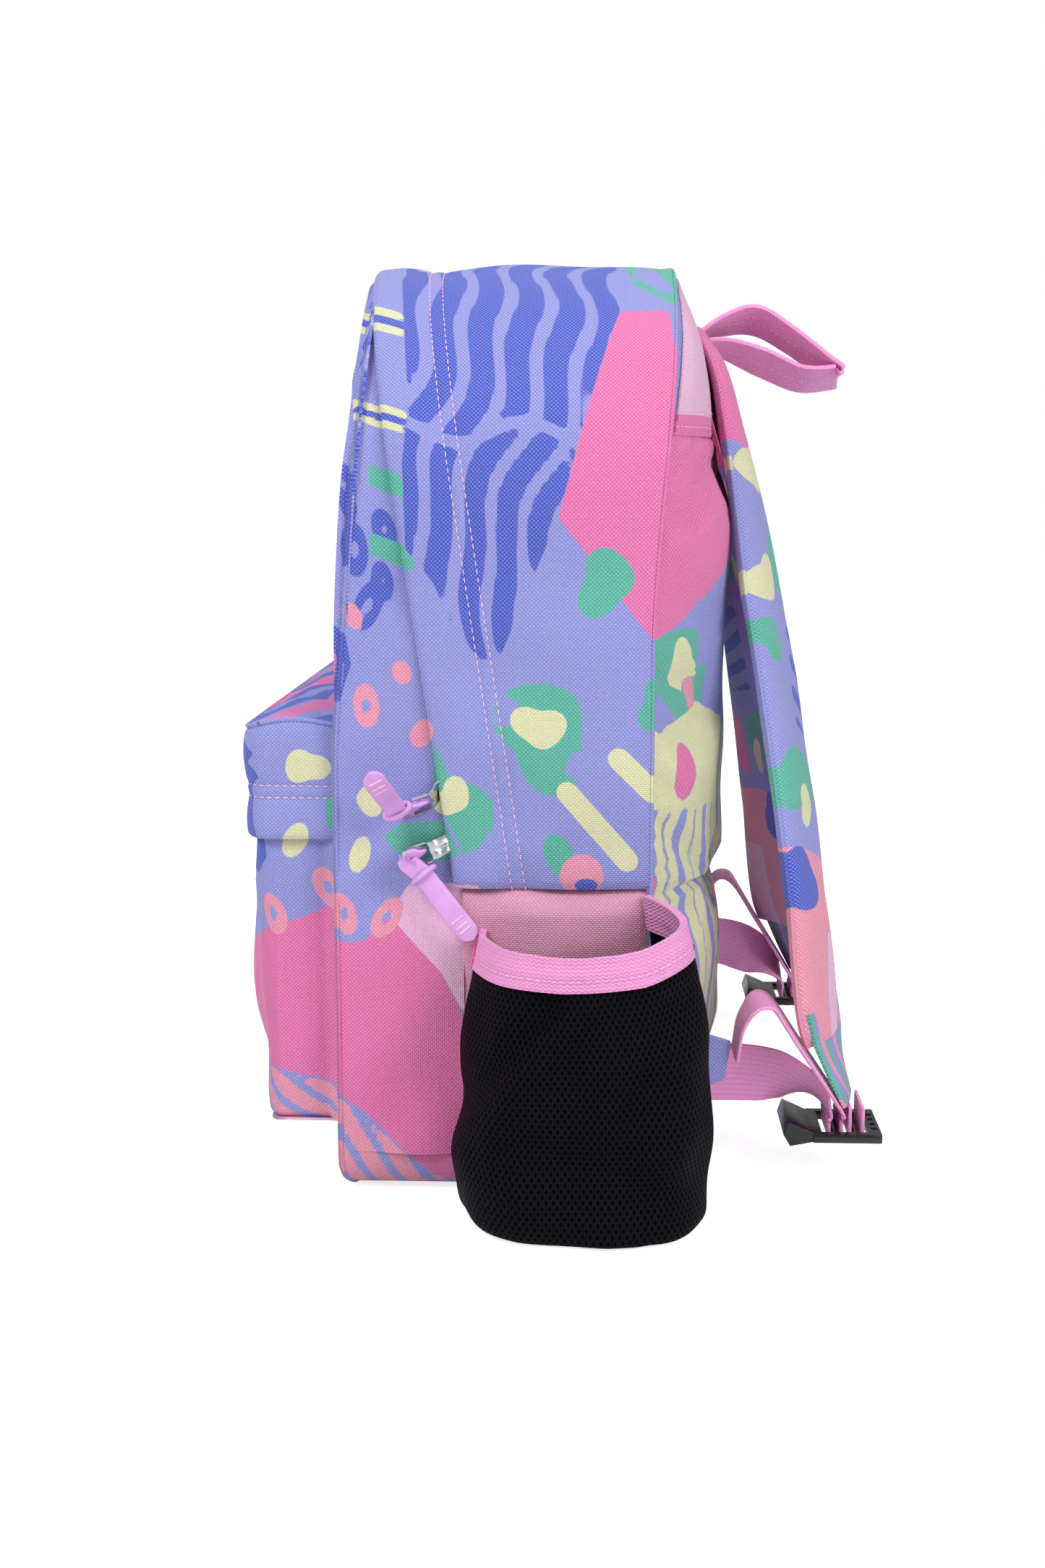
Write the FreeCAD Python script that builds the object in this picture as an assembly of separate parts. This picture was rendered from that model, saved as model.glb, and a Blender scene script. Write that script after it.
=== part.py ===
"""School backpack: soft printed shell, hooded main zipper, front pocket, two mesh side pockets and two
padded shoulder straps.

Frame: +X is the wearer's right, -Y the front (pocket) side, +Y the back panel, +Z up.
The origin is the middle of the flat base. Millimetres.
"""
import FreeCAD, Part
import math
import os

V = FreeCAD.Vector

# ---- driving dimensions -------------------------------------------------------------------------
WIDTH = 300.0             # across the shell, seam to seam
HEIGHT = 394.0            # base to the top of the arch
DEPTH = 130.0             # gusset width, front seam to back seam
SHOULDER_R = 100.0        # round top corners of the arch
BASE_R = 18.0             # round bottom corners
FABRIC = 1.2              # one layer of coated polyester with its seam allowance
HALF = WIDTH / 2
SEAM = DEPTH / 2

LEAN_FROM, LEAN_TO, LEAN = 230.0, 380.0, 9.0      # the top leans back by LEAN between these heights
HEM_Z = 135.0             # top hem of the lower side panels, where the main zipper ends
FLAP_AT_HEM = -16.0       # free edge of the zipper hood at the hem
FLAP_SLOPE = -0.15        # how far the hood's edge runs forward for each mm up
FLAP_W = 25.0             # hood width, free edge to its topstitching
ZIP_IN = 12.0             # zipper centre behind the hood's free edge
HOOD_GAP = 3.5            # hood's outer face to the layer under it
SIDE_SEAM_Y = -12.0       # seam between the front gusset and the lower side panel
FOLD_Z = 230.0            # the front folds forward here when the mouth is open
FRONT_BULGE, BACK_BULGE = 11.0, 30.0

POCKET_HALF = 145.0       # front pocket, half width
POCKET_Y = -105.0         # its front face
POCKET_LOW, POCKET_TOP = 29.0, 201.0
POCKET_RISE, POCKET_CROWN = 2.0, 3.0               # its top climbs this far to the body, and crowns
POCKET_R = 12.0           # its round front corners
BAND_LOW = 154.0          # free edge of the pocket's zipper hood
BAND_STITCH = 177.0       # topstitching that holds the hood
POCKET_ZIP_Z = 167.0
POCKET_PARK = (-136.0, -116.0)                     # stretch of the zipper where its slider is parked

MESH_RIM = 120.0          # top of the side pocket's elastic
ELASTIC_W = 14.0
MESH_WALL = 1.6
MESH_FLOOR = 1.0          # underside of the side pocket above the base plane
# the side pocket's outline as (out from the wall, y), boxy at the floor and rounder at the rim
MESH_LOW = [(0, -13), (22, -13), (48, 2), (55, 40), (51, 76), (30, 91), (11, 86), (0, 70)]
MESH_TOP = [(0, -5), (15, -4), (38, 10), (50, 38), (45, 61), (28, 79), (11, 75), (0, 65)]

STRAP_W, STRAP_T = 62.0, 12.0
WEBBING, WEBBING_T = 25.0, 1.4
# x, y, z, width, thickness down the padded strap, from its seam to the end of the foam
STRAP_PATH = [
    (45.0, 90.6, 362.0, 58.0, 4.0),
    (50.0, 97.0, 346.0, 62.0, 9.0),
    (58.0, 107.0, 306.0, 62.0, 12.0),
    (70.0, 117.5, 254.0, 62.0, 12.0),
    (84.0, 128.0, 190.0, 62.0, 12.0),
    (97.0, 137.5, 122.0, 60.0, 12.0),
    (104.0, 143.0, 76.0, 48.0, 10.0),
]
TAIL_PATH = [(104.2, 143.4, 74.0, 44.0, 5.0), (106.0, 148.5, 50.0, 32.0, 4.0), (107.0, 155.2, 31.0, 27.0, 3.6)]

LOCK_X, LOCK_Z = 107.0, 18.0                       # ladder lock: centre line and mid height
LOCK_W, LOCK_T = 34.0, 4.0
LIP_END, LIP_ROOT = 126.0, 139.0                   # stations along y
BAR_1, BAR_2, BAR_R = 149.0, 158.2, 1.8
END_PLATE, LOCK_END = 163.6, 169.0
RAIL = 3.6

HANDLE_W, HANDLE_T = 25.0, 2.0
SLIDE_DIR = V(0, FLAP_SLOPE, 1).normalize()        # the main zipper's direction on the side wall
SLIDER_L, SLIDER_W = 13.0, 7.2
UPPER_SLIDER_Z, LOWER_SLIDER_Z = 183.0, 159.5
PULLER_L, PULLER_W, PULLER_T = 25.0, 8.0, 0.8
PULLER_BEND, PULLER_OUT = (14.5, 19.0), 5.6        # the plate steps outwards between these lengths
EYE_R, PIN_R = 2.9, 1.1
TAB_L, TAB_W, TAB_T = 42.0, 9.0, 2.2
PULLER_DROOP = 22.0       # the main pullers point forward and this far down
UPPER_TAB_TURN, LOWER_TAB_TURN = -148.0, 27.0
UPPER_TAB_BEND, LOWER_TAB_BEND = 50.0, 25.0        # below their collars the tabs bend outwards
POCKET_SLIDER_X = -126.0

HEIGHTS = [-5, 0, 20, HEM_Z, 180, FOLD_Z, 240, 255, 280, 305, 330, 355, 380, 405]


# ---- the shell's lines --------------------------------------------------------------------------
def ease(t):
    t = max(0.0, min(1.0, t))
    return t * t * (3 - 2 * t)


def lean(z):
    return LEAN * ease((z - LEAN_FROM) / (LEAN_TO - LEAN_FROM))


def front_y(z):
    return -SEAM + lean(z)


def back_y(z):
    return SEAM + lean(z)


def flap_y(z):
    return FLAP_AT_HEM + FLAP_SLOPE * (z - HEM_Z)


def zip_y(z):
    return flap_y(z) + ZIP_IN


def stitch_y(z):
    return flap_y(z) + FLAP_W


def back_bulge(x, z):
    across = 1 - min(1.0, abs(x) / HALF) ** 4
    low = 0.35 + 0.65 * ease(z / 70.0)
    high = 1 - (max(0.0, z - 260) / 140.0) ** 1.5
    return BACK_BULGE * across * low * max(0.0, high)


def front_bulge(x, z):
    across = 1 - min(1.0, abs(x) / HALF) ** 2
    up = math.sin(math.pi * max(0.0, min(1.0, (z - FOLD_Z) / (HEIGHT - FOLD_Z))))
    return FRONT_BULGE * across * up


# ---- shape helpers ------------------------------------------------------------------------------
def polygon(points):
    return Part.Face(Part.makePolygon(points + [points[0]]))


def box(x0, x1, y0, y1, z0, z1):
    return Part.makeBox(x1 - x0, y1 - y0, z1 - z0, V(x0, y0, z0))


def shell_prism(inset, y0=-120.0, y1=120.0):
    """The arch outline, pulled in by inset, as a solid between two depths."""
    half, top, low = HALF - inset, HEIGHT - inset, inset
    r, b = SHOULDER_R - inset, max(0.5, BASE_R - inset)
    c = math.sqrt(0.5)

    def arc(cx, cz, radius, sx, sz):
        ends = (V(cx + sx * radius, y0, cz), V(cx, y0, cz + sz * radius))
        return ends[0], V(cx + sx * c * radius, y0, cz + sz * c * radius), ends[1]

    tr, tl = arc(half - r, top - r, r, 1, 1), arc(-half + r, top - r, r, -1, 1)
    br, bl = arc(half - b, low + b, b, 1, -1), arc(-half + b, low + b, b, -1, -1)
    edges = [
        Part.Arc(*tr), Part.LineSegment(tr[2], tl[2]), Part.Arc(*tl), Part.LineSegment(tl[0], bl[0]),
        Part.Arc(*bl), Part.LineSegment(bl[2], br[2]), Part.Arc(*br), Part.LineSegment(br[0], tr[0]),
    ]
    wire = Part.Wire(Part.__sortEdges__([e.toShape() for e in edges]))
    return Part.Face(wire).extrude(V(0, y1 - y0, 0))


def ring(outer, inner):
    """A layer of the gusset that goes all the way round the shell, between two insets."""
    return shell_prism(outer).cut(shell_prism(inner, -121.0, 121.0))


def depth_band(front, back, z0, z1):
    """Everything between two depth lines, each a function of height, from z0 to z1."""
    zs = [z0] + [z for z in HEIGHTS if z0 < z < z1] + [z1]
    points = [V(-260, front(z), z) for z in zs] + [V(-260, back(z), z) for z in reversed(zs)]
    return polygon(points).extrude(V(520, 0, 0))


def half_space(side):
    return box(0, 260, -200, 260, -10, 420) if side > 0 else box(-260, 0, -200, 260, -10, 420)


def bulged_panel(y_at, thickness, z0, z1, inset=0.0, reach=(-4.0, 404.0)):
    """A sheet that follows y_at(x, z) over its reach, cut to the shell's outline between two heights."""
    columns = [HALF * s for s in (-1.04, -0.93, -0.8, -0.6, -0.3, 0, 0.3, 0.6, 0.8, 0.93, 1.04)]
    rows = [reach[0] + (reach[1] - reach[0]) * i / 16 for i in range(17)]
    grid = [[V(x, y_at(x, z), z) for x in columns] for z in rows]
    surface = Part.BSplineSurface()
    surface.interpolate(grid)
    sheet = surface.toShape().extrude(V(0, thickness, 0))
    return sheet.common(shell_prism(inset, -200, 200)).common(box(-200, 200, -200, 200, z0, z1))


def section(x, y, z, across, through, width, thick, cut):
    """An oblong with cut corners: across and through are its width and thickness directions."""
    w, t = width / 2, thick / 2
    corners = [(w - cut, t), (w, t - cut), (w, -t + cut), (w - cut, -t),
               (-w + cut, -t), (-w, -t + cut), (-w, t - cut), (-w + cut, t)]
    points = [V(x, y, z) + across * a + through * b for a, b in corners]
    return Part.makePolygon(points + [points[0]])


def strip(stations, cut=0.3):
    """A band through stations (x, y, z, width, thickness): its width lies along x."""
    wires = []
    for i, (x, y, z, width, thick) in enumerate(stations):
        a, b = stations[max(0, i - 1)], stations[min(len(stations) - 1, i + 1)]
        along = V(0, b[1] - a[1], b[2] - a[2]).normalize()
        through = V(0, -along.z, along.y)
        wires.append(section(x, y, z, V(1, 0, 0), through, width, thick, cut))
    return Part.makeLoft(wires, True, True)


def ribbon(points, across, width, thick):
    """A flat webbing along points, with its width direction given at each one."""
    wires = []
    for i, p in enumerate(points):
        a, b = points[max(0, i - 1)], points[min(len(points) - 1, i + 1)]
        along = (b - a).normalize()
        side = across[i] - along * (across[i] * along)
        side.normalize()
        through = along.cross(side)
        w, t = side * (width / 2), through * (thick / 2)
        corners = [p + w + t, p - w + t, p - w - t, p + w - t]
        wires.append(Part.makePolygon(corners + [corners[0]]))
    solid = Part.makeLoft(wires, True, True)
    return solid if solid.Volume > 0 else Part.makeLoft(list(reversed(wires)), True, True)


def mirrored(shape):
    return shape.mirror(V(0, 0, 0), V(1, 0, 0))


parts = {}


def both_sides(name, shape):
    """A right-hand piece and its left-hand twin."""
    parts[name + "_right"] = shape
    parts[name + "_left"] = mirrored(shape)


# ---- main shell ---------------------------------------------------------------------------------
def make_shell():
    outer = ring(0, FABRIC)
    under = ring(HOOD_GAP, HOOD_GAP + FABRIC)
    parts["base_panel"] = outer.common(depth_band(lambda z: -SEAM, lambda z: SEAM, 0, 20))
    side = outer.common(depth_band(lambda z: SIDE_SEAM_Y, back_y, 20, HEM_Z)).common(half_space(1))
    both_sides("lower_side_panel", side)
    low = outer.common(depth_band(front_y, lambda z: SIDE_SEAM_Y, 20, HEM_Z - 3))
    step = ring(0, HOOD_GAP + FABRIC).common(depth_band(front_y, lambda z: SIDE_SEAM_Y, HEM_Z - 3, HEM_Z))
    high = under.common(depth_band(front_y, lambda z: zip_y(z) - 4, HEM_Z, FOLD_Z))
    both_sides("front_gusset_lower", low.fuse([step, high]).common(half_space(1)).removeSplitter())
    parts["front_gusset_upper"] = under.common(
        depth_band(front_y, lambda z: zip_y(z) - 4, FOLD_Z + 1, HEIGHT + 2))
    gusset = outer.common(depth_band(stitch_y, back_y, HEM_Z + 0.3, HEIGHT + 2))
    join = ring(0, HOOD_GAP + FABRIC).common(
        depth_band(stitch_y, lambda z: stitch_y(z) + 6, HEM_Z + 0.3, HEIGHT + 2))
    parts["rear_gusset"] = gusset.fuse(join).removeSplitter()
    parts["zipper_hood"] = ring(0, 1.0).common(
        depth_band(flap_y, lambda z: stitch_y(z) - 0.1, HEM_Z + 0.3, HEIGHT + 2))
    tape = ring(HOOD_GAP + FABRIC, HOOD_GAP + FABRIC + 0.8)
    coil = ring(HOOD_GAP + 0.4, HOOD_GAP + FABRIC)
    rear = tape.common(depth_band(lambda z: zip_y(z) + 0.4, lambda z: stitch_y(z) + 4, HEM_Z, HEIGHT + 2))
    teeth = coil.common(depth_band(lambda z: zip_y(z) + 0.4, lambda z: zip_y(z) + 3, HEM_Z, HEIGHT + 2))
    parts["zip_tape_rear"] = rear.fuse(teeth).removeSplitter()
    for name, z0, z1 in (("zip_tape_front_lower", HEM_Z, FOLD_Z), ("zip_tape_front_upper", FOLD_Z + 1, 402)):
        edge = tape.common(depth_band(lambda z: zip_y(z) - 14, lambda z: zip_y(z) - 0.4, z0, z1))
        teeth = coil.common(depth_band(lambda z: zip_y(z) - 3, lambda z: zip_y(z) - 0.4, z0, z1))
        both = edge.fuse(teeth).removeSplitter()
        if z0 == HEM_Z:
            both_sides(name, both.common(half_space(1)))
        else:
            parts[name] = both
    stop_z = HEM_Z + 1.2
    stop = box(HALF - 6.2, HALF - HOOD_GAP - 0.4, zip_y(stop_z) - 4, zip_y(stop_z) + 4, HEM_Z - 3.5, HEM_Z - 0.3)
    both_sides("zip_end_stop", stop)


def make_panels():
    parts["front_panel_lower"] = bulged_panel(
        lambda x, z: front_y(z) - 0.2, -FABRIC, 2, FOLD_Z - 0.5)
    parts["front_panel_upper"] = bulged_panel(
        lambda x, z: front_y(z) - 0.2 - front_bulge(x, z), -FABRIC, FOLD_Z + 1, HEIGHT, 0.0, (FOLD_Z, 404.0))
    parts["back_panel"] = bulged_panel(
        lambda x, z: back_y(z) + 0.2 + back_bulge(x, z), FABRIC, 2, HEIGHT)
    parts["back_foam"] = bulged_panel(
        lambda x, z: back_y(z) - 8.0 + back_bulge(x, z), 8.0, 14, 366, 9.0)
    parts["back_yoke"] = bulged_panel(
        lambda x, z: back_y(z) + 0.2 + FABRIC + back_bulge(x, z), FABRIC, 321, 396, 3.0)
    parts["back_seam_binding"] = ring(FABRIC, 8.0).common(
        depth_band(lambda z: back_y(z) - 1.4, lambda z: back_y(z) - 0.2, 1, HEIGHT))


# ---- front pocket -------------------------------------------------------------------------------
def pocket_prism(inset, z0, z1):
    half, front, r = POCKET_HALF - inset, POCKET_Y + inset, POCKET_R - inset
    rear, c = -SEAM - FABRIC - 0.4, math.sqrt(0.5)
    right = [V(half, rear, z0), V(half, front + r, z0), V(half - r + c * r, front + r - c * r, z0),
             V(half - r, front, z0)]
    left = [V(-p.x, p.y, p.z) for p in right]
    edges = [
        Part.LineSegment(right[0], right[1]), Part.Arc(*right[1:]), Part.LineSegment(right[3], left[3]),
        Part.Arc(left[3], left[2], left[1]), Part.LineSegment(left[1], left[0]),
        Part.LineSegment(left[0], right[0]),
    ]
    return Part.Face(Part.Wire([e.toShape() for e in edges])).extrude(V(0, 0, z1 - z0))


def pocket_wall(outer, inner, z0, z1):
    """A wall round the pocket's front and both sides, open at the back."""
    open_back = box(-POCKET_HALF + inner, POCKET_HALF - inner, -SEAM - 4, -SEAM, z0, z1)
    return pocket_prism(outer, z0, z1).cut(pocket_prism(inner, z0 - 1, z1 + 1)).cut(open_back)


def pocket_crown():
    """The pocket's top edge seen from the side: it climbs from the front crease to the body."""
    depth = -SEAM - FABRIC - 0.4 - POCKET_Y
    steps = (0, 0.25, 0.5, 0.75, 1)
    heights = [POCKET_TOP + POCKET_RISE * t + POCKET_CROWN * math.sin(math.pi * t) for t in steps]
    return [V(-POCKET_HALF, POCKET_Y + depth * t, z) for t, z in zip(steps, heights)]


def make_pocket():
    crown = pocket_crown()
    below = [V(-POCKET_HALF, crown[-1].y, 0), V(-POCKET_HALF, crown[0].y, 0)]
    under_crown = polygon(crown + below).extrude(V(2 * POCKET_HALF, 0, 0))
    band = pocket_wall(0, FABRIC, BAND_LOW, POCKET_TOP + POCKET_RISE + POCKET_CROWN).common(under_crown)
    join = pocket_wall(0, HOOD_GAP + FABRIC, BAND_STITCH - 1, BAND_STITCH + 5)
    parts["pocket_band"] = band.fuse(join).removeSplitter()
    parts["pocket_panel"] = pocket_wall(HOOD_GAP, HOOD_GAP + FABRIC, POCKET_LOW + FABRIC, POCKET_ZIP_Z - 4)
    parts["pocket_bottom"] = pocket_prism(HOOD_GAP, POCKET_LOW, POCKET_LOW + FABRIC)
    profile = crown + [p - V(0, 0, FABRIC) for p in reversed(crown)]
    top = polygon(profile).extrude(V(2 * POCKET_HALF, 0, 0))
    parts["pocket_top"] = top.common(pocket_prism(FABRIC, POCKET_TOP - 10, POCKET_TOP + 40))
    inner, depth_in = HOOD_GAP + FABRIC, HOOD_GAP + FABRIC + 0.8
    upper = pocket_wall(inner, depth_in, POCKET_ZIP_Z + 0.4, BAND_STITCH + 4)
    upper_teeth = pocket_wall(HOOD_GAP + 0.4, inner, POCKET_ZIP_Z + 0.4, POCKET_ZIP_Z + 3)
    lower = pocket_wall(inner, depth_in, POCKET_ZIP_Z - 14, POCKET_ZIP_Z - 0.4)
    lower_teeth = pocket_wall(HOOD_GAP + 0.4, inner, POCKET_ZIP_Z - 3, POCKET_ZIP_Z - 0.4)
    parts["pocket_zip_tape_upper"] = upper.fuse(upper_teeth).removeSplitter()
    park = box(POCKET_PARK[0], POCKET_PARK[1], -130, -90, POCKET_ZIP_Z - 8, POCKET_ZIP_Z)
    parts["pocket_zip_tape_lower"] = lower.fuse(lower_teeth).cut(park).removeSplitter()


# ---- side pockets -------------------------------------------------------------------------------
def side_pocket_section(z, low, inset):
    """The pouch's outline at one height: low is 1 for its floor outline and 0 for its rim outline."""
    centre = V(HALF + 18, 34, z)
    points = []
    for (out_low, y_low), (out_top, y_top) in zip(MESH_LOW, MESH_TOP):
        out, y = out_top + (out_low - out_top) * low, y_top + (y_low - y_top) * low
        p = V(HALF + 0.6 + out, y, z)
        points.append(p + (centre - p).normalize() * inset)
    curve = Part.BSplineCurve()
    curve.interpolate(points)
    back = Part.LineSegment(points[-1], points[0])
    return Part.Wire([curve.toShape(), back.toShape()])


def pouch(levels, inset):
    """A stack of outlines, each (height, low), made into a solid."""
    return Part.makeLoft([side_pocket_section(z, low, inset) for z, low in levels], True, True)


def make_side_pockets():
    neck = MESH_RIM - ELASTIC_W
    body = [(MESH_FLOOR, 0.9), (12, 1.0), (45, 1.0), (76, 0.85), (92, 0.6), (neck, 0.3)]
    inside = [(MESH_FLOOR + MESH_WALL, 0.9)] + body[1:-1] + [(neck + 1, 0.3)]
    both_sides("mesh_pocket", pouch(body, 0).cut(pouch(inside, MESH_WALL)))
    rim = [(neck, 0.3), (MESH_RIM, 0.0)]
    through = [(neck - 1, 0.3), (MESH_RIM + 1, 0.0)]
    both_sides("elastic_rim", pouch(rim, -0.6).cut(pouch(through, MESH_WALL + 0.4)))


# ---- shoulder straps ----------------------------------------------------------------------------
def make_straps():
    cover = strip(STRAP_PATH, 1.6)
    core = strip([(x, y, z, w - 2 * FABRIC, t - 2 * FABRIC) for x, y, z, w, t in STRAP_PATH], 0.6)
    both_sides("strap_cover", cover.cut(core))
    both_sides("strap_foam", core)
    both_sides("strap_tail", strip(TAIL_PATH, 0.8))
    clear = BAR_R + 0.3
    loop = ring_loop(LOCK_X, BAR_2, LOCK_Z, clear, TAIL_PATH[-1][2] - 0.6)
    both_sides("strap_end_loop", loop)


def ring_loop(x, y, z, radius, top):
    """A webbing loop under a bar along x: half a tube with two upright legs."""
    outer, low = radius + WEBBING_T, x - WEBBING / 2

    def slab(r, z1):
        face = Part.makeCylinder(r, WEBBING, V(low, y, z), V(1, 0, 0))
        return face.fuse(box(low, low + WEBBING, y - r, y + r, z, z1))

    return slab(outer, top).cut(slab(radius, top + 5)).common(box(0, 200, 0, 300, -10, top))


def make_ladder_lock():
    x0, x1 = LOCK_X - LOCK_W / 2, LOCK_X + LOCK_W / 2
    z0, z1 = LOCK_Z - LOCK_T / 2, LOCK_Z + LOCK_T / 2
    frame = box(x0, x1, LIP_ROOT, LOCK_END, z0, z1)
    frame = frame.cut(box(x0 + RAIL, x1 - RAIL, LIP_ROOT + 4, END_PLATE, z0 - 1, z1 + 1))
    lip = polygon([V(x0 + 1, LIP_ROOT, z0), V(x0 + 1, LIP_END + 3, z0 - 2), V(x0 + 1, LIP_END, z0 + 3),
                   V(x0 + 1, LIP_END + 2, z1 + 5), V(x0 + 1, LIP_ROOT, z1)]).extrude(V(LOCK_W - 2, 0, 0))
    bars = [Part.makeCylinder(BAR_R, LOCK_W - 2 * RAIL + 2, V(x0 + RAIL - 1, y, LOCK_Z), V(1, 0, 0))
            for y in (BAR_1, BAR_2)]
    lock = frame.fuse([lip] + bars)
    for i in range(4):
        recess = box(x0 + 6 + 6 * i, x0 + 9 + 6 * i, END_PLATE + 1.4, LOCK_END - 1.4, z1 - 1.2, z1 + 1)
        lock = lock.cut(recess)
    both_sides("ladder_lock", lock.removeSplitter())


def make_webbing():
    """Lower webbing: from the wing tab up and over to the ladder lock, under its bar and back as a tail."""
    along_x, upright = V(1, 0, 0), V(0, 0, 1)
    gap = BAR_R + 0.3
    front_slot, rear_slot = BAR_1 - gap - WEBBING_T / 2, BAR_1 + gap + WEBBING_T / 2
    arch = [V(130, 103.5, 58), V(129.5, 106, 72), V(128, 112, 80), V(125, 120, 78), V(119, 132, 60),
            V(111, 146, 38), V(LOCK_X, rear_slot, 28), V(LOCK_X, rear_slot, 24)]
    across = [along_x] * len(arch)
    both_sides("webbing_anchor", ribbon(arch, across, WEBBING, WEBBING_T))
    both_sides("webbing_turn", ring_loop(LOCK_X, BAR_1, LOCK_Z, gap, 23.4))
    tail = [V(LOCK_X, front_slot, 23.6), V(LOCK_X, front_slot, 27), V(109, 141, 33), V(113, 132, 39),
            V(116, 120, 44), V(117, 106, 46)]
    across = [along_x, along_x, V(1, 0, 0.35), V(0.8, 0, 1), V(0.2, 0, 1), upright]
    both_sides("webbing_tail", ribbon(tail, across, WEBBING, WEBBING_T))


def make_wings():
    """Triangular fabric tabs at the lower back corners, with the webbing sewn between their layers."""
    out = V(-10.4, 30.0, 0)
    root = V(145.4, 71.2, 0)
    outline = [root + V(0, 0, 84), root + out + V(0, 0, 66), root + out * 0.88 + V(0, 0, 46), root + V(0, 0, 34)]
    normal = out.cross(V(0, 0, 1)).normalize()
    both_sides("wing_tab", polygon(outline).extrude(normal * 3.0))


# ---- carry handle -------------------------------------------------------------------------------
def make_handle():
    """A flat webbing loop: the upper leg rises and runs out, and the lower leg comes back under it."""
    upper = [V(0, 87.6, 372), V(0, 103, 381), V(0, 120, 384), V(0, 140, 372), V(0, 156, 357.5)]
    lower = [V(0, 156, 355), V(0, 140, 355), V(0, 120, 361), V(0, 103, 366.5), V(0, 87.6, 369.5)]
    level = [V(1, 0, 0)] * len(upper)
    top = ribbon(upper, level, HANDLE_W, HANDLE_T)
    low = ribbon(lower, level, HANDLE_W, HANDLE_T)
    fold = box(-HANDLE_W / 2, HANDLE_W / 2, 154.6, 157.4, 354.2, 358.4)
    root = box(-HANDLE_W / 2, HANDLE_W / 2, 87.0, 89.6, 368.4, 373.8)
    parts["grab_handle"] = top.fuse([low, fold, root]).removeSplitter()


# ---- zipper sliders, pullers and rubber tabs ------------------------------------------------------
def slider_body():
    """Local frame: x out of the fabric, y across the zipper, z along it. The coil runs through it."""
    top = box(0.75, 1.95, -SLIDER_W / 2, SLIDER_W / 2, -SLIDER_L / 2, SLIDER_L / 2)
    low = box(-4.0, -2.8, -SLIDER_W / 2, SLIDER_W / 2, -SLIDER_L / 2, SLIDER_L / 2)
    post = box(-4.0, 1.95, -0.35, 0.35, 2.0, SLIDER_L / 2)
    pin = Part.makeCylinder(PIN_R, 1.75, V(1.2, 0, -1.0), V(1, 0, 0))
    return top.fuse([low, post, pin]).removeSplitter()


def puller_plate():
    """Local frame: turns about x at the origin and points along -y; the eye is at its far end."""
    half, out, (bend, flat) = PULLER_W / 2, PULLER_OUT, PULLER_BEND
    profile = [V(0, 0, -half), V(0, -bend, -half), V(out, -flat, -half), V(out, -PULLER_L, -half)]
    outer = [p + V(PULLER_T, 0.3 * (1 if 0 < i < 3 else 0), 0) for i, p in enumerate(profile)]
    plate = polygon(profile + list(reversed(outer))).extrude(V(0, 0, PULLER_W))
    root = Part.makeCylinder(half, PULLER_T, V(0, 0, 0), V(1, 0, 0))
    end = Part.makeCylinder(half, PULLER_T, V(out, -PULLER_L, 0), V(1, 0, 0))
    hole = Part.makeCylinder(PIN_R + 0.3, 5, V(-1, 0, 0), V(1, 0, 0))
    eye = Part.makeCylinder(EYE_R, 5, V(out - 2, -PULLER_L, 0), V(1, 0, 0))
    return plate.fuse([root, end]).cut(hole).cut(eye).removeSplitter()


def rubber_tab(bend=0.0):
    """Local frame: hangs along -z from the eye at the origin; x is through the puller's plate.
    Below the collar it bends towards +x by this many degrees."""
    front, back, collar_z = 0.8, -1.0, -13.5
    root = box(front, front + TAB_T, -TAB_W / 2, TAB_W / 2, collar_z, -1.4)
    tongue = box(front, front + TAB_T, -TAB_W / 2, TAB_W / 2, -TAB_L, collar_z)
    tip = Part.makeCylinder(TAB_W / 2, TAB_T, V(front, 0, -TAB_L), V(1, 0, 0))
    tongue = tongue.fuse(tip)
    tongue.rotate(V(front + TAB_T / 2, 0, collar_z), V(0, 1, 0), -bend)
    through = box(back - 1.6, front + TAB_T, -1.6, 1.6, -2.0, 0.5)
    return_leg = box(back - 1.6, back, -3.0, 3.0, -12, 0.5)
    join = box(back - 1.6, front + 0.1, -3.0, 3.0, -12, -8.2)
    collar = box(back - 1.6, front + TAB_T + 1.4, -TAB_W / 2 - 2, TAB_W / 2 + 2, -14.5, -12)
    return root.fuse([tongue, through, return_leg, join, collar]).removeSplitter()


def place(shape, at, turn_x=0.0, turn_z=0.0):
    """Turns a small part about x, then about z, in degrees, and moves it."""
    turned = FreeCAD.Rotation(V(0, 0, 1), turn_z).multiply(FreeCAD.Rotation(V(1, 0, 0), turn_x))
    done = shape.copy()
    done.Placement = FreeCAD.Placement(at, turned)
    return done


def eye_of(pivot, droop):
    a = math.radians(droop)
    return pivot + V(0, -PULLER_L * math.cos(a), -PULLER_L * math.sin(a))


def make_main_sliders():
    x = HALF - HOOD_GAP - 0.8
    tilt = math.degrees(math.atan(-FLAP_SLOPE))
    for name, z, turn, bend in (("upper", UPPER_SLIDER_Z, UPPER_TAB_TURN, UPPER_TAB_BEND),
                                ("lower", LOWER_SLIDER_Z, LOWER_TAB_TURN, LOWER_TAB_BEND)):
        centre = V(x, zip_y(z), z)
        parts["main_slider_" + name] = place(slider_body(), centre, tilt)
        pivot = centre + V(2.05, 0, 0) + SLIDE_DIR * -1.0
        parts["main_puller_" + name] = place(puller_plate(), pivot, PULLER_DROOP)
        eye = eye_of(pivot, PULLER_DROOP) + V(PULLER_OUT + PULLER_T / 2, 0, 0)
        parts["main_pull_tab_" + name] = place(rubber_tab(bend), eye, turn)


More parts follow.
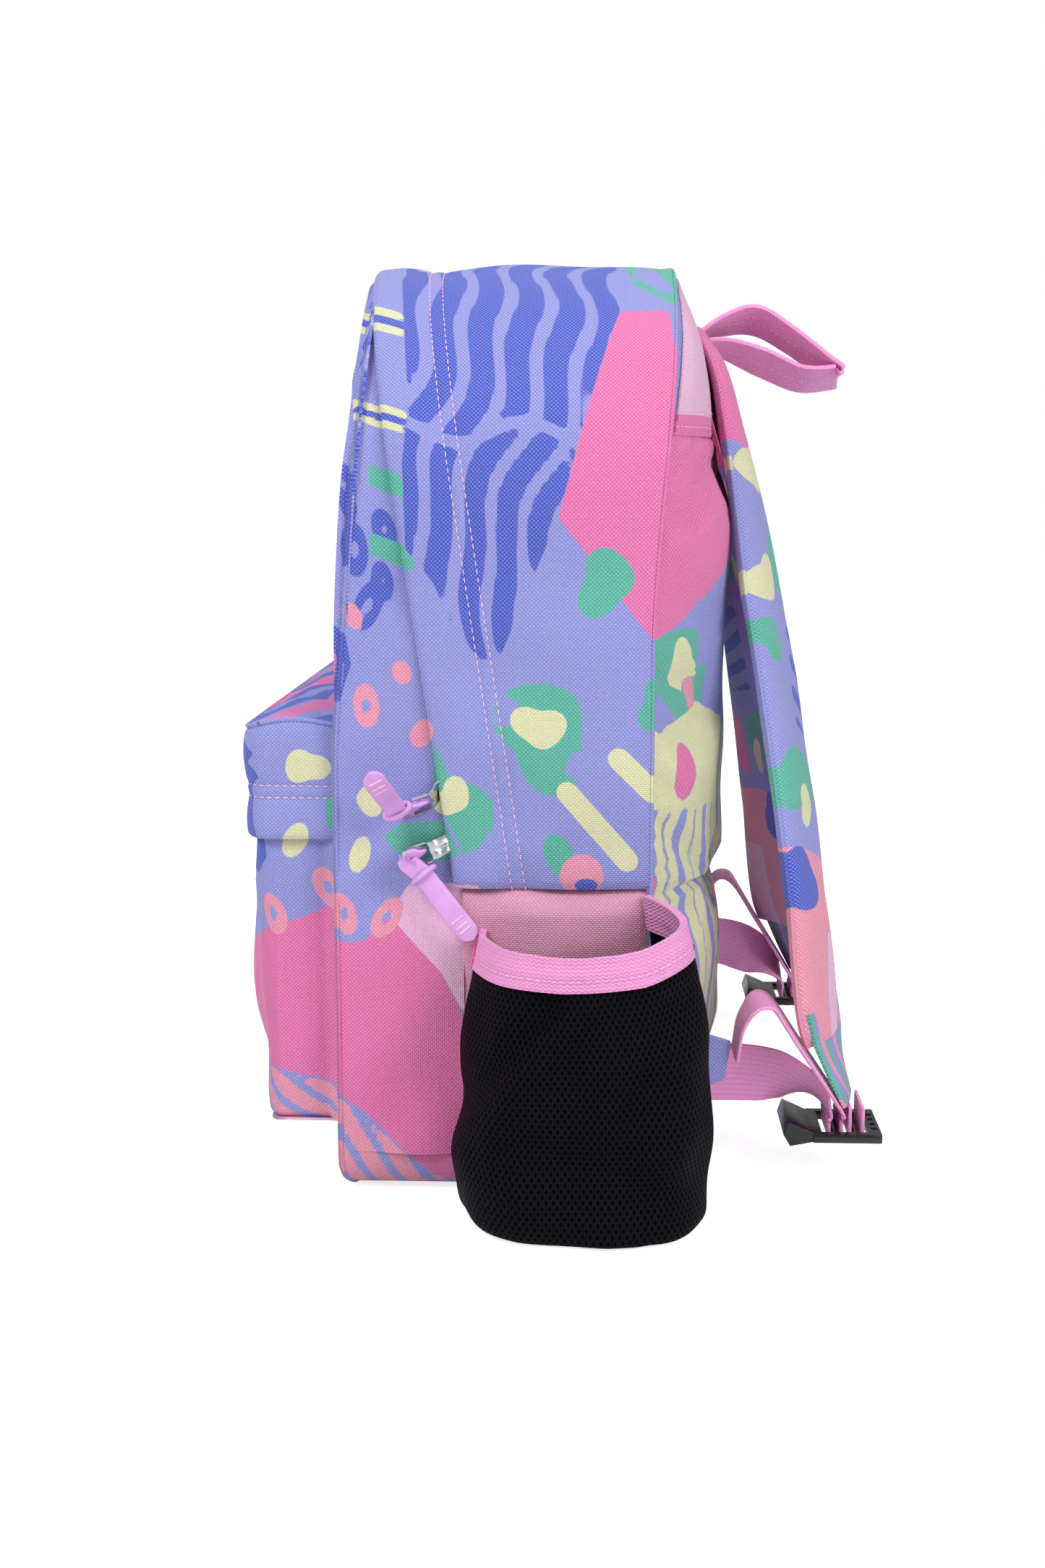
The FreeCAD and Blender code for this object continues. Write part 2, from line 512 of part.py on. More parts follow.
def make_pocket_slider():
    """The same parts turned so that the zipper runs along x and the puller hangs down the front."""
    out_to_front = FreeCAD.Rotation(V(0, 0, 1), -90)
    along_x = out_to_front.multiply(FreeCAD.Rotation(V(1, 0, 0), 90))
    centre = V(POCKET_SLIDER_X, POCKET_Y + HOOD_GAP + 0.8, POCKET_ZIP_Z)
    pivot = centre + along_x.multVec(V(2.05, 0, -1.0))
    eye = pivot + along_x.multVec(V(PULLER_OUT + PULLER_T / 2, -PULLER_L, 0))
    for name, shape, at, turned in (
        ("pocket_slider", slider_body(), centre, along_x),
        ("pocket_puller", puller_plate(), pivot, along_x),
        ("pocket_pull_tab", rubber_tab(), eye, out_to_front),
    ):
        shape.Placement = FreeCAD.Placement(at, turned)
        parts[name] = shape


def main():
    make_shell()
    make_panels()
    make_pocket()
    make_side_pockets()
    make_straps()
    make_ladder_lock()
    make_webbing()
    make_wings()
    make_handle()
    make_main_sliders()
    make_pocket_slider()
    os.makedirs("parts", exist_ok=True)
    for name, shape in sorted(parts.items()):
        if not shape.Solids or not shape.isValid():
            raise ValueError(name + " is not a valid solid")
        shape = shape.Solids[0] if len(shape.Solids) == 1 else Part.makeCompound(shape.Solids)
        shape.exportStep("parts/" + name + ".step")


main()
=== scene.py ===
"""Looks of the school backpack: printed cloth shell, front pocket, mesh side pockets, padded straps,
webbing, zipper parts and the studio they stand in.

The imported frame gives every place. Lengths in the mesh code are millimetres: depth is y (front to
back), and the height along the cloth runs up the side wall and on over the arch.
"""
import math

import bpy
import numpy as np
from mathutils import Matrix, Vector


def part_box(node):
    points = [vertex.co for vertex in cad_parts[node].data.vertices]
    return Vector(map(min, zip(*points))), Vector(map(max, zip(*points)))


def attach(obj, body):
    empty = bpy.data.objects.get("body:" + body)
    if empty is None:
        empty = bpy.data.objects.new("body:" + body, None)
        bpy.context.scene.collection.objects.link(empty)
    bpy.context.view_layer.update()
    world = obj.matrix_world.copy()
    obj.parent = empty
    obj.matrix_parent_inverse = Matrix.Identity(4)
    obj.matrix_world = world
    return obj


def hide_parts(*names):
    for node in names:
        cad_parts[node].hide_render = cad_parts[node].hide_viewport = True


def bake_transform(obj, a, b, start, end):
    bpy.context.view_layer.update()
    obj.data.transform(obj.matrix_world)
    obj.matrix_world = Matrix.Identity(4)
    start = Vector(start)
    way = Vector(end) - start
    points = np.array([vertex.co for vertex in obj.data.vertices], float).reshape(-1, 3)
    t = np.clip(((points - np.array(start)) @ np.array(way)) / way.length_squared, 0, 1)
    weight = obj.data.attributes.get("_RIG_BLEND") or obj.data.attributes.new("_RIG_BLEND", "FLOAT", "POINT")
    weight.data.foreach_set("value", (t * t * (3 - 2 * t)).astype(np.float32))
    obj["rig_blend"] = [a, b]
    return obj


bl_info = {
    "name": "School backpack",
    "version": (1, 0, 0),
    "blender": (4, 5, 0),
    "location": "3D View > Sidebar > Backpack",
    "description": "Builds the cloth, webbing and trim of a school backpack on its packed frame",
    "category": "Object",
}

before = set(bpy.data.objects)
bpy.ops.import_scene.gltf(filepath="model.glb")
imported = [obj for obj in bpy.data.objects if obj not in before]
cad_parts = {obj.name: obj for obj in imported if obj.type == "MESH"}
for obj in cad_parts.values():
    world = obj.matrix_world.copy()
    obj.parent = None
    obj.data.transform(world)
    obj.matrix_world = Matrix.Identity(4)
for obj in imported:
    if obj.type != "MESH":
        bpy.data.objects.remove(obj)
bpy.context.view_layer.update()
MM = 0.001


def srgb(code):
    """A colour written as six hex digits, in the linear values that shaders take."""
    parts = [int(code[i:i + 2], 16) / 255 for i in (0, 2, 4)]
    return tuple(c / 12.92 if c <= 0.04045 else ((c + 0.055) / 1.055) ** 2.4 for c in parts)


def node_box(name):
    """Lowest and highest corner of a CAD node in mm."""
    low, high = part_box(name)
    return np.array(low) / MM, np.array(high) / MM


# ---- sizes and colours a user may change ---------------------------------------------------------
def length(name, text, mm, low=0.0, high=100.0):
    return bpy.props.FloatProperty(name=name, description=text, default=mm * MM, min=low * MM,
                                   max=high * MM, unit="LENGTH", subtype="DISTANCE", precision=4)


def colour(name, text, code):
    return bpy.props.FloatVectorProperty(name=name, description=text, default=srgb(code), size=3,
                                         subtype="COLOR", min=0.0, max=1.0)


class BackpackSizes(bpy.types.PropertyGroup):
    cloth: length("Cloth thickness", "One layer of the printed shell cloth", 1.2, 0.4, 3)
    weave: length("Weave pitch", "One thread of the coarse plain weave", 0.85, 0.5, 4)
    stitch: length("Stitch pitch", "From one topstitch to the next", 3.4, 1.5, 8)
    thread: length("Thread width", "Width of the sewing thread", 0.55, 0.2, 2)
    tooth: length("Zipper tooth pitch", "From one turn of the coil to the next", 1.7, 1, 4)
    webbing: length("Webbing thickness", "Thickness of the webbing and the handle", 1.5, 0.8, 4)
    piping: length("Piping radius", "Radius of the rolled seams", 1.3, 0.5, 4)
    knit: length("Mesh hole pitch", "From one column of holes in the mesh to the next", 2.9, 1, 8)


class BackpackColours(bpy.types.PropertyGroup):
    lilac: colour("Lilac", "Ground colour of the print", "9296DC")
    hot: colour("Hot pink", "Large pink blocks of the print", "EE6FAE")
    light: colour("Light pink", "Plain panels, the yoke and the pale blocks", "F3BEDD")
    rose: colour("Rose", "Plain cloth of the lower side panels", "E69AB8")
    coral: colour("Coral", "Rings and wavy stripes of the print", "F397B0")
    blue: colour("Blue", "Large wavy stripes of the print", "4258C8")
    green: colour("Green", "Mottled patches of the print", "4FB89F")
    yellow: colour("Yellow", "Pale bars and spots of the print", "E6E6B2")
    webbing: colour("Webbing pink", "Webbing, handle and elastic", "F09AD2")
    mesh: colour("Mesh black", "Knitted mesh of the side pockets", "0B0B12")
    rubber: colour("Rubber lilac", "Soft tabs on the pullers", "CF9AD8")
    plastic: colour("Plastic black", "Ladder locks", "08080A")
    metal: colour("Silver", "Sliders and pullers", "C9C9CE")


def sizes():
    return bpy.context.scene.backpack_sizes


def paint(name):
    return tuple(getattr(bpy.context.scene.backpack_colours, name)) + (1.0,)


# ---- lines of the shell --------------------------------------------------------------------------
HALF = node_box("base_panel")[1][0]
HEIGHT = node_box("rear_gusset")[1][2]
SEAM = node_box("base_panel")[1][1]
SHOULDER_R, BASE_R = 100.0, 18.0
FLAT = HALF - SHOULDER_R
ARC, CORNER = SHOULDER_R * math.pi / 2, BASE_R * math.pi / 2
SIDE = HEIGHT - SHOULDER_R - BASE_R
GIRTH = FLAT + ARC + SIDE + CORNER + HALF - BASE_R
HEM = node_box("lower_side_panel_right")[1][2]
CROWN = FLAT + ARC + HEIGHT - SHOULDER_R        # height along the cloth at the middle of the top
FOLD = 230.0
ZIP_LIFT = 3.5
POCKET_FRONT = node_box("pocket_band")[0][1]
POCKET_HALF = node_box("pocket_band")[1][0]
POCKET_REAR = -SEAM - 1.6
POCKET_R = 12.0
BAND_LOW = node_box("pocket_band")[0][2]
POCKET_LOW = node_box("pocket_bottom")[0][2]
WALL = node_box("mesh_pocket_right")[0][0]
RIM = node_box("elastic_rim_right")[1][2]
EYE = Vector((910.0, 43.0, 307.0))              # where the camera stands
LENS, YAW, PITCH = 42.91, 2.3, 9.55             # its lens in mm, and its turns in degrees


def ease(t):
    t = np.clip(t, 0.0, 1.0)
    return t * t * (3 - 2 * t)


def hump(t, power=1.0):
    """Rises from 0 at t=0 to 1 half way and back to 0 at t=1."""
    return np.sin(np.pi * np.clip(t, 0, 1)) ** power


def dent(d, width):
    """A soft groove: 1 on its line, gone a few widths away."""
    return np.exp(-(d / width) ** 2)


def lean(z):
    return 9.0 * ease((z - 230) / 150)


def foot(z):
    """How far the lowest cloth curls in under the bag."""
    return 7.0 * (1 - np.sqrt(1 - np.clip((14 - z) / 14, 0, 1) ** 2))


def front_y(z):
    return -SEAM + lean(z) + foot(z)


def back_y(z):
    return SEAM + lean(z) - foot(z)


def hood_y(z):
    """Free edge of the zipper hood."""
    return -16.0 - 0.15 * (z - HEM)


def zip_y(z):
    return hood_y(z) + 12.0


def back_bulge(x, z):
    across = 1 - np.minimum(1, np.abs(x) / HALF) ** 4
    low = 0.35 + 0.65 * ease(z / 70)
    return 30 * across * low * np.maximum(0, 1 - (np.maximum(0, z - 260) / 140) ** 1.5) * from_seam(x, z)


def front_bulge(x, z):
    across = 1 - np.minimum(1, np.abs(x) / HALF) ** 2
    return 11 * across * np.sin(np.pi * np.clip((z - FOLD) / (HEIGHT - FOLD), 0, 1)) * from_seam(x, z)


def from_seam(x, z):
    """0 on a panel's arched seam, rising to 1 a little way inside it."""
    return 1 - np.exp(-np.maximum(edge_distance(x, z), 0) / 8)


def outline(s):
    """x, z and the outward direction s mm round the shell from the top middle; +s goes down the +X side."""
    s = np.asarray(s, float)
    side, a = np.where(s < 0, -1.0, 1.0), np.abs(s)
    side, a = np.where(a > GIRTH, -side, side), np.where(a > GIRTH, 2 * GIRTH - a, a)
    turn = np.clip((a - FLAT) / SHOULDER_R, 0, math.pi / 2)
    bend = np.clip((a - FLAT - ARC - SIDE) / BASE_R, 0, math.pi / 2)
    down = np.clip(a - FLAT - ARC, 0, SIDE)
    under = np.clip(a - (GIRTH - HALF + BASE_R), 0, HALF)
    x = np.minimum(a, FLAT) + SHOULDER_R * np.sin(turn) - BASE_R * (1 - np.cos(bend)) - under
    z = HEIGHT - SHOULDER_R * (1 - np.cos(turn)) - down - BASE_R * np.sin(bend)
    nx, nz = np.where(bend > 0, np.cos(bend), np.sin(turn)), np.where(bend > 0, -np.sin(bend), np.cos(turn))
    return x * side, z, nx * side, nz


def round_to(z):
    """Distance round the shell from the top middle to a height on the straight part of the side."""
    return FLAT + ARC + HEIGHT - SHOULDER_R - z


def band(s, y, lift):
    """Points of a sheet that runs round the shell: y and lift have a row for each s."""
    x, z, nx, nz = (q[:, None] for q in outline(s))
    return np.stack([x + nx * lift, y, z + nz * lift], -1)


def ripple(u, v, seed, size, count=6):
    """Soft dents and swells about size mm across, from -1 to 1."""
    rng = np.random.default_rng(seed)
    total = 0
    for _ in range(count):
        turn, first, second = rng.uniform(0, 2 * np.pi, 3)
        wave = size * rng.uniform(0.7, 1.7)
        along, across = u * np.cos(turn) + v * np.sin(turn), v * np.cos(turn) - u * np.sin(turn)
        total = total + np.sin(2 * np.pi * along / wave + first
                               + 0.7 * np.sin(2 * np.pi * across / (1.8 * wave) + second))
    return total * 1.5 / count


def spline(points, count):
    """A smooth line of count points through the given ones, evenly spread along it."""
    p = np.asarray(points, float)
    ends = np.vstack([2 * p[0] - p[1], p, 2 * p[-1] - p[-2]])
    fine = []
    t = np.linspace(0, 1, 24, endpoint=False)[:, None]
    for a, b, c, d in zip(ends, ends[1:], ends[2:], ends[3:]):
        fine.append(0.5 * (2 * b + (c - a) * t + (2 * a - 5 * b + 4 * c - d) * t ** 2
                           + (3 * b - a - 3 * c + d) * t ** 3))
    fine = np.vstack(fine + [p[-1:]])
    gone = np.concatenate([[0], np.cumsum(np.linalg.norm(np.diff(fine[:, :3], axis=0), axis=1))])
    at = np.linspace(0, gone[-1], count)
    return np.stack([np.interp(at, gone, fine[:, k]) for k in range(p.shape[1])], -1)


def travelled(line):
    """Distance along a line of points."""
    return np.concatenate([[0], np.cumsum(np.linalg.norm(np.diff(line, axis=0), axis=1))])


def unit(v):
    return v / np.maximum(np.linalg.norm(v, axis=-1, keepdims=True), 1e-9)


# ---- meshes --------------------------------------------------------------------------------------
def facing(grid, wrap=False):
    """Directions away from the face of a grid."""
    du = np.gradient(grid, axis=0)
    dv = (np.roll(grid, -1, 1) - np.roll(grid, 1, 1)) / 2 if wrap else np.gradient(grid, axis=1)
    return unit(np.cross(du, dv))


def quads(rows, columns, wrap=False, start=0):
    last = columns if wrap else columns - 1
    i, j = np.meshgrid(np.arange(rows - 1), np.arange(last), indexing="ij")
    k = (j + 1) % columns
    q = np.stack([i * columns + j, (i + 1) * columns + j, (i + 1) * columns + k, i * columns + k], -1)
    return q.reshape(-1, 4) + start


def signed_volume(points, faces):
    total = 0.0
    for f in faces:
        total += float(np.dot(points[f[0]], np.cross(points[f[1]], points[f[2]])))
        if len(f) == 4:
            total += float(np.dot(points[f[0]], np.cross(points[f[2]], points[f[3]])))
    return total


def placed(name, data):
    """A new object with this data, in the scene."""
    thing = bpy.data.objects.new(name, data)
    bpy.context.scene.collection.objects.link(thing)
    return thing


def make_object(name, points, faces, materials, attributes=None, slots=None, sharp=50):
    """A mesh object from points in mm. attributes maps a name to one value or vector per point."""
    mesh = bpy.data.meshes.new(name)
    mesh.from_pydata((np.asarray(points) * MM).tolist(), [], [list(map(int, f)) for f in faces])
    for key, values in (attributes or {}).items():
        values = np.asarray(values, np.float32)
        kind, field = ("FLOAT_VECTOR", "vector") if values.ndim == 2 else ("FLOAT", "value")
        mesh.attributes.new(key, kind, "POINT").data.foreach_set(field, values.ravel())
    for material in materials:
        mesh.materials.append(material)
    if slots is not None:
        mesh.polygons.foreach_set("material_index", np.asarray(slots, np.int32))
    mesh.shade_smooth()
    mesh.set_sharp_from_angle(angle=math.radians(sharp))
    mesh.update()
    return placed(name, mesh)


def cloth_lines(u, v):
    """The two directions of the weave, in mm, for each point of a grid."""
    return np.stack([np.broadcast_to(u, v.shape), v, np.zeros(v.shape)], -1)


def skin(name, grid, thick, materials, cloth, inks=None, wrap=False, inside=0, sharp=50):
    """A closed sheet of cloth: the grid is its outer face, and the inner one lies thick mm behind it.
    inside is the index of the material on the inner face."""
    rows, columns = grid.shape[:2]
    away = facing(grid, wrap)
    count = rows * columns
    outer = quads(rows, columns, wrap)
    inner = quads(rows, columns, wrap, count)[:, ::-1]
    ids = np.arange(count).reshape(rows, columns)

    def rim(line, reverse):
        a, b = line[:-1], line[1:]
        edge = np.stack([a, b, b + count, a + count], -1)
        return edge[:, ::-1] if reverse else edge

    closed = [np.append(r, r[0]) for r in (ids[0], ids[-1])] if wrap else [ids[0], ids[-1]]
    edges = [rim(closed[0], True), rim(closed[1], False)]
    if not wrap:
        edges += [rim(ids[:, 0], False), rim(ids[:, -1], True)]
    faces = np.vstack([outer, inner] + edges)
    points = np.vstack([grid.reshape(-1, 3), (grid - away * thick).reshape(-1, 3)])
    if signed_volume(points, faces) < 0:
        faces = faces[:, ::-1]
    both = {"cloth": np.tile(np.asarray(cloth).reshape(-1, 3), (2, 1))}
    for key, values in (inks or {}).items():
        both[key] = np.tile(values.ravel(), 2)
    slots = np.zeros(len(faces), int)
    slots[len(outer):len(outer) + len(inner)] = inside
    return make_object(name, points, faces, materials, both, slots, sharp)


def bar(name, grid, materials, cloth, inks=None, slots=None, sharp=40):
    """A solid from rings of points (station, point round the ring), closed at both ends."""
    rows, columns = grid.shape[:2]
    points = grid.reshape(-1, 3)
    faces = quads(rows, columns, True).tolist()
    caps = [list(range(columns))[::-1], list(range((rows - 1) * columns, rows * columns))]
    if signed_volume(points, faces) < 0:
        faces = [f[::-1] for f in faces]
        caps = [c[::-1] for c in caps]
    both = {"cloth": np.asarray(cloth).reshape(-1, 3)}
    for key, values in (inks or {}).items():
        both[key] = values.ravel()
    index = None if slots is None else list(slots) + [slots[0], slots[-1]]
    return make_object(name, points, faces + caps, materials, both, index, sharp)


def hoop(name, grid, material, sharp=50):
    """A solid ring from rings of points, closed both ways."""
    rows, columns = grid.shape[:2]
    closed = quads(rows + 1, columns, True) % (rows * columns)
    points = grid.reshape(-1, 3)
    if signed_volume(points, closed) < 0:
        closed = closed[:, ::-1]
    return make_object(name, points, closed, [material], {"cloth": points}, sharp=sharp)


def pipe(name, line, radius, material, inks=None, sides=8):
    """A thin round cord along a line of points, with the line's own inks."""
    along = unit(np.gradient(line, axis=0))
    guide = np.where(np.abs(along[:, 1:2]) > 0.9, [[1.0, 0, 0]], [[0, 1.0, 0]])
    across = unit(np.cross(along, guide))
    up = np.cross(across, along)
    a = np.linspace(0, 2 * np.pi, sides, endpoint=False)
    r = np.broadcast_to(np.asarray(radius, float).reshape(-1, 1, 1), (len(line), 1, 1))
    grid = (line[:, None] + r * (across[:, None] * np.cos(a)[None, :, None]
                                 + up[:, None] * np.sin(a)[None, :, None]))
    cloth = cloth_lines(travelled(line)[:, None], np.tile(a * float(np.mean(radius)), (len(line), 1)))
    spread = {k: np.tile(v[:, None], (1, sides)) for k, v in (inks or {}).items()}
    return bar(name, grid, [material], cloth, spread, sharp=60)


def ribbon(name, line, across, width, thick, material, count=60, edge=0.45):
    """A flat woven strip along a line; across gives its width direction at each given point."""
    both = spline(np.hstack([np.asarray(line, float), np.asarray(across, float)]), count)
    line, across = both[:, :3], both[:, 3:]
    along = unit(np.gradient(line, axis=0))
    side = unit(across - along * np.sum(across * along, axis=1, keepdims=True))
    up = np.cross(along, side)
    h, t = width / 2, thick / 2
    flat = np.linspace(-1, 1, 9)
    section = ([(h * f, t) for f in flat] + [(h + edge, 0)] + [(h * f, -t) for f in flat[::-1]]
               + [(-h - edge, 0)])
    a, b = np.array([p[0] for p in section]), np.array([p[1] for p in section])
    grid = line[:, None] + side[:, None] * a[None, :, None] + up[:, None] * b[None, :, None]
    cloth = cloth_lines(travelled(line)[:, None], np.tile(a, (len(line), 1)))
    return bar(name, grid, [material], cloth)


def plate(name, loops, thick, bevel, material, to_world):
    """A flat piece cut to the first loop with the others as holes, its edges rounded. Points are (x, y)."""
    curve = bpy.data.curves.new(name, "CURVE")
    curve.dimensions, curve.fill_mode = "2D", "BOTH"
    curve.extrude, curve.bevel_depth, curve.bevel_resolution = (thick / 2 - bevel) * MM, bevel * MM, 2
    curve.offset = -bevel * MM
    for loop in loops:
        line = curve.splines.new("POLY")
        line.points.add(len(loop) - 1)
        for point, (x, y) in zip(line.points, loop):
            point.co = (x * MM, y * MM, 0, 1)
        line.use_cyclic_u = True
    holder = placed(name, curve)
    mesh = bpy.data.meshes.new_from_object(holder.evaluated_get(bpy.context.evaluated_depsgraph_get()))
    bpy.data.objects.remove(holder)
    flat = np.array([v.co for v in mesh.vertices]) / MM
    mesh.attributes.new("cloth", "FLOAT_VECTOR", "POINT").data.foreach_set(
        "vector", np.stack([flat[:, 0], flat[:, 1], 0 * flat[:, 0]], -1).astype(np.float32).ravel())
    mesh.materials.clear()
    mesh.materials.append(material)
    mesh.transform(to_world)
    mesh.shade_smooth()
    mesh.set_sharp_from_angle(angle=math.radians(40))
    return placed(name, mesh)


def axes(origin, x, y, z):
    """The matrix that takes a plate's own x, y and z to these directions at origin, all in mm."""
    m = Matrix.Identity(4)
    for k, v in enumerate((x, y, z)):
        m.col[k][:3] = Vector(v).normalized()
    m.col[3][:3] = Vector(origin) * MM
    return m


def puff(grid, held, pressure, slack, cap, steps=18):
    """The grid after a cloth simulation: held points stay, and pressure fills the slack between them.
    No point moves further than cap mm."""
    rows, columns = grid.shape[:2]
    sheet = make_object("puffing", grid.reshape(-1, 3), quads(rows, columns), [])
    group = sheet.vertex_groups.new(name="held")
    group.add([int(i) for i in np.flatnonzero(held.ravel())], 1.0, "ADD")
    cloth = sheet.modifiers.new("cloth", "CLOTH")
    cloth.settings.vertex_group_mass = "held"
    cloth.settings.quality = 6
    cloth.settings.mass = 0.12
    cloth.settings.use_pressure = True
    cloth.settings.uniform_pressure_force = pressure
    cloth.settings.shrink_min = -slack
    cloth.settings.tension_stiffness = 30
    cloth.settings.compression_stiffness = 30
    cloth.settings.bending_stiffness = 0.6
    cloth.settings.effector_weights.gravity = 0
    cloth.collision_settings.use_collision = False
    cloth.point_cache.frame_start, cloth.point_cache.frame_end = 1, steps
    for step in range(1, steps + 1):
        bpy.context.scene.frame_set(step)
    done = sheet.evaluated_get(bpy.context.evaluated_depsgraph_get())
    moved = np.array([v.co for v in done.data.vertices]).reshape(grid.shape) / MM - grid
    bpy.data.objects.remove(sheet)
    bpy.context.scene.frame_set(1)
    far = np.linalg.norm(moved, axis=-1, keepdims=True)
    return grid + moved * np.minimum(1, cap / np.maximum(far, 1e-6))


# ---- the print -----------------------------------------------------------------------------------
INKS = ("hot", "light", "coral", "blue", "green", "yellow")


class Print:
    """Colour fields of a printed cloth over two coordinates in mm. A field is the distance to the edge of
    its colour, negative inside it. Colours laid later cover those laid before."""

    def __init__(self, a, b):
        self.a, self.b = np.broadcast_arrays(np.asarray(a, float), np.asarray(b, float))
        self.ink = {k: np.full(self.a.shape, 9.0) for k in INKS}

    def lay(self, ink, d, within=None):
        d = d if within is None else np.maximum(d, within)
        if ink != "lilac":
            self.ink[ink] = np.minimum(self.ink[ink], d)
        order = INKS.index(ink) if ink != "lilac" else -1
        for higher in INKS[order + 1:]:
            self.ink[higher] = np.maximum(self.ink[higher], -d)

    def attributes(self):
        return {"ink_" + k: np.clip(v, -9, 9) for k, v in self.ink.items()}

    def disc(self, a, b, ra, rb=None, turn=0.0):
        rb = ra if rb is None else rb
        c, s = math.cos(turn), math.sin(turn)
        u, v = (self.a - a) * c + (self.b - b) * s, (self.b - b) * c - (self.a - a) * s
        return (np.hypot(u / ra, v / rb) - 1) * min(ra, rb)

    def ring(self, a, b, ra, rb, wide, turn=0.0):
        return np.abs(self.disc(a, b, ra, rb, turn)) - wide / 2

    def blot(self, a, b, r, seed):
        """An uneven round spot."""
        one, two = np.random.default_rng(seed).uniform(0, 6.3, 2)
        angle = np.arctan2(self.b - b, self.a - a)
        return np.hypot(self.a - a, self.b - b) - r * (
            1 + 0.2 * np.sin(2 * angle + one) + 0.13 * np.sin(3 * angle + two))

    def line(self, start, end, wide):
        p, q = np.array(start, float), np.array(end, float)
        d = q - p
        t = np.clip(((self.a - p[0]) * d[0] + (self.b - p[1]) * d[1]) / (d @ d), 0, 1)
        return np.hypot(self.a - p[0] - t * d[0], self.b - p[1] - t * d[1]) - wide / 2

    def block(self, corners):
        """Distance to the edge of a polygon, negative inside."""
        c = np.array(corners, float)
        near, inside = np.full(self.a.shape, 1e9), np.zeros(self.a.shape, bool)
        for p, q in zip(c, np.roll(c, -1, 0)):
            d = q - p
            t = np.clip(((self.a - p[0]) * d[0] + (self.b - p[1]) * d[1]) / max(d @ d, 1e-9), 0, 1)
            near = np.minimum(near, np.hypot(self.a - p[0] - t * d[0], self.b - p[1] - t * d[1]))
            crosses = (p[1] > self.b) != (q[1] > self.b)
            slope = d[0] / (d[1] if abs(d[1]) > 1e-9 else 1e-9)
            inside ^= crosses & (self.a < p[0] + (self.b - p[1]) * slope)
        return np.where(inside, -near, near)

    def seen(self, corners):
        """A polygon given as seen square on from the side, carried on over the arch."""
        return self.block([on_arch(a, b) for a, b in corners])

    def draw(self, shapes):
        """Lays shapes in turn, each an ink, the name of a shape and its values."""
        for ink, shape, *values in shapes:
            self.lay(ink, getattr(self, shape)(*values))

    def waves(self, wave, turn=0.0, warp=5.0, share=0.5, seed=0):
        """Uneven wavy stripes, wave mm apart."""
        one, two, three = np.random.default_rng(seed).uniform(0, 6.3, 3)
        c, s = math.cos(turn), math.sin(turn)
        u, v = self.a * c + self.b * s, self.b * c - self.a * s
        u = u + warp * np.sin(v / 21 + one) + 0.45 * warp * np.sin(v / 9.5 + two + u / 30)
        return ((np.cos(np.pi * share) - np.cos(2 * np.pi * u / wave
                + 0.6 * np.sin(v / 15 + three))) * wave / 6.3)

    def leopard(self, a, b, r, seed):
        """A green mottled patch with a pale middle."""
        self.lay("green", self.blot(a, b, r, seed))
        self.lay("lilac", self.blot(a - 0.75 * r, b + 0.45 * r, 0.27 * r, seed + 2))
        self.lay("lilac", self.blot(a + 0.7 * r, b - 0.6 * r, 0.25 * r, seed + 3))
        self.lay("yellow", self.blot(a - 0.08 * r, b + 0.15 * r, 0.48 * r, seed + 1))

    def scatter(self, seed, a, b):
        """A loose collage of the print's shapes over the stretch a = (from, to), b = (from, to)."""
        rng = np.random.default_rng(seed)
        step = 46.0
        for i in np.arange(a[0], a[1], step):
            for j in np.arange(b[0], b[1], step):
                u, v = i + rng.uniform(0, step), j + rng.uniform(0, step)
                pick, turn, size = rng.uniform(), rng.uniform(0, 3.1), rng.uniform(0.7, 1.2)
                if pick < 0.2:
                    for k in range(3):
                        self.lay("blue", self.ring(u + 15 * k - 15, v + rng.uniform(-16, 16), 4.5, 7, 3.6,
                                turn))
                elif pick < 0.4:
                    for k in range(3):
                        self.lay("coral", self.ring(u + 16 * k - 16, v + rng.uniform(-16, 16), 5, 7.5, 4,
                                turn))
                elif pick < 0.58:
                    self.leopard(u, v, 17 * size, int(rng.integers(99)))
                elif pick < 0.7:
                    self.lay("yellow", self.line((u, v), (u + 26 * math.cos(turn), v + 26 * math.sin(turn)),
                            8))
                elif pick < 0.84:
                    patch = self.blot(u, v, 34 * size, int(rng.integers(99)))
                    self.lay("lilac", patch)
                    self.lay("blue", self.waves(12, turn, 4, 0.55, int(rng.integers(99))), patch)
                else:
                    r = 34 * size
                    corners = [(u + r * math.cos(turn + k), v + r * math.sin(turn + k))
                               for k in (0, 1.3, 2.9, 4.4)]
                    self.lay("hot", self.block(corners))


def reversed_inks(inks):
    return {k: v[:, ::-1] for k, v in inks.items()}


def one_column(inks):
    return {k: v[:, 0] for k, v in inks.items()}


def on_arch(a, b):
    """Depth and height along the cloth of a place given as seen square on from the +X side."""
    turn = np.linspace(0, 1.46, 60)
    x, z = FLAT + SHOULDER_R * np.cos(turn), HEIGHT - SHOULDER_R + SHOULDER_R * np.sin(turn)
    seen = EYE.z + (z - EYE.z) * (EYE.x - HALF) / (EYE.x - x)
    if b <= seen[0]:
        return a, b
    angle = float(np.interp(b, seen, turn))
    shrink = float(np.interp(b, seen, (EYE.x - x) / (EYE.x - HALF)))
    return EYE.y + (a - EYE.y) * shrink, HEIGHT - SHOULDER_R + SHOULDER_R * angle


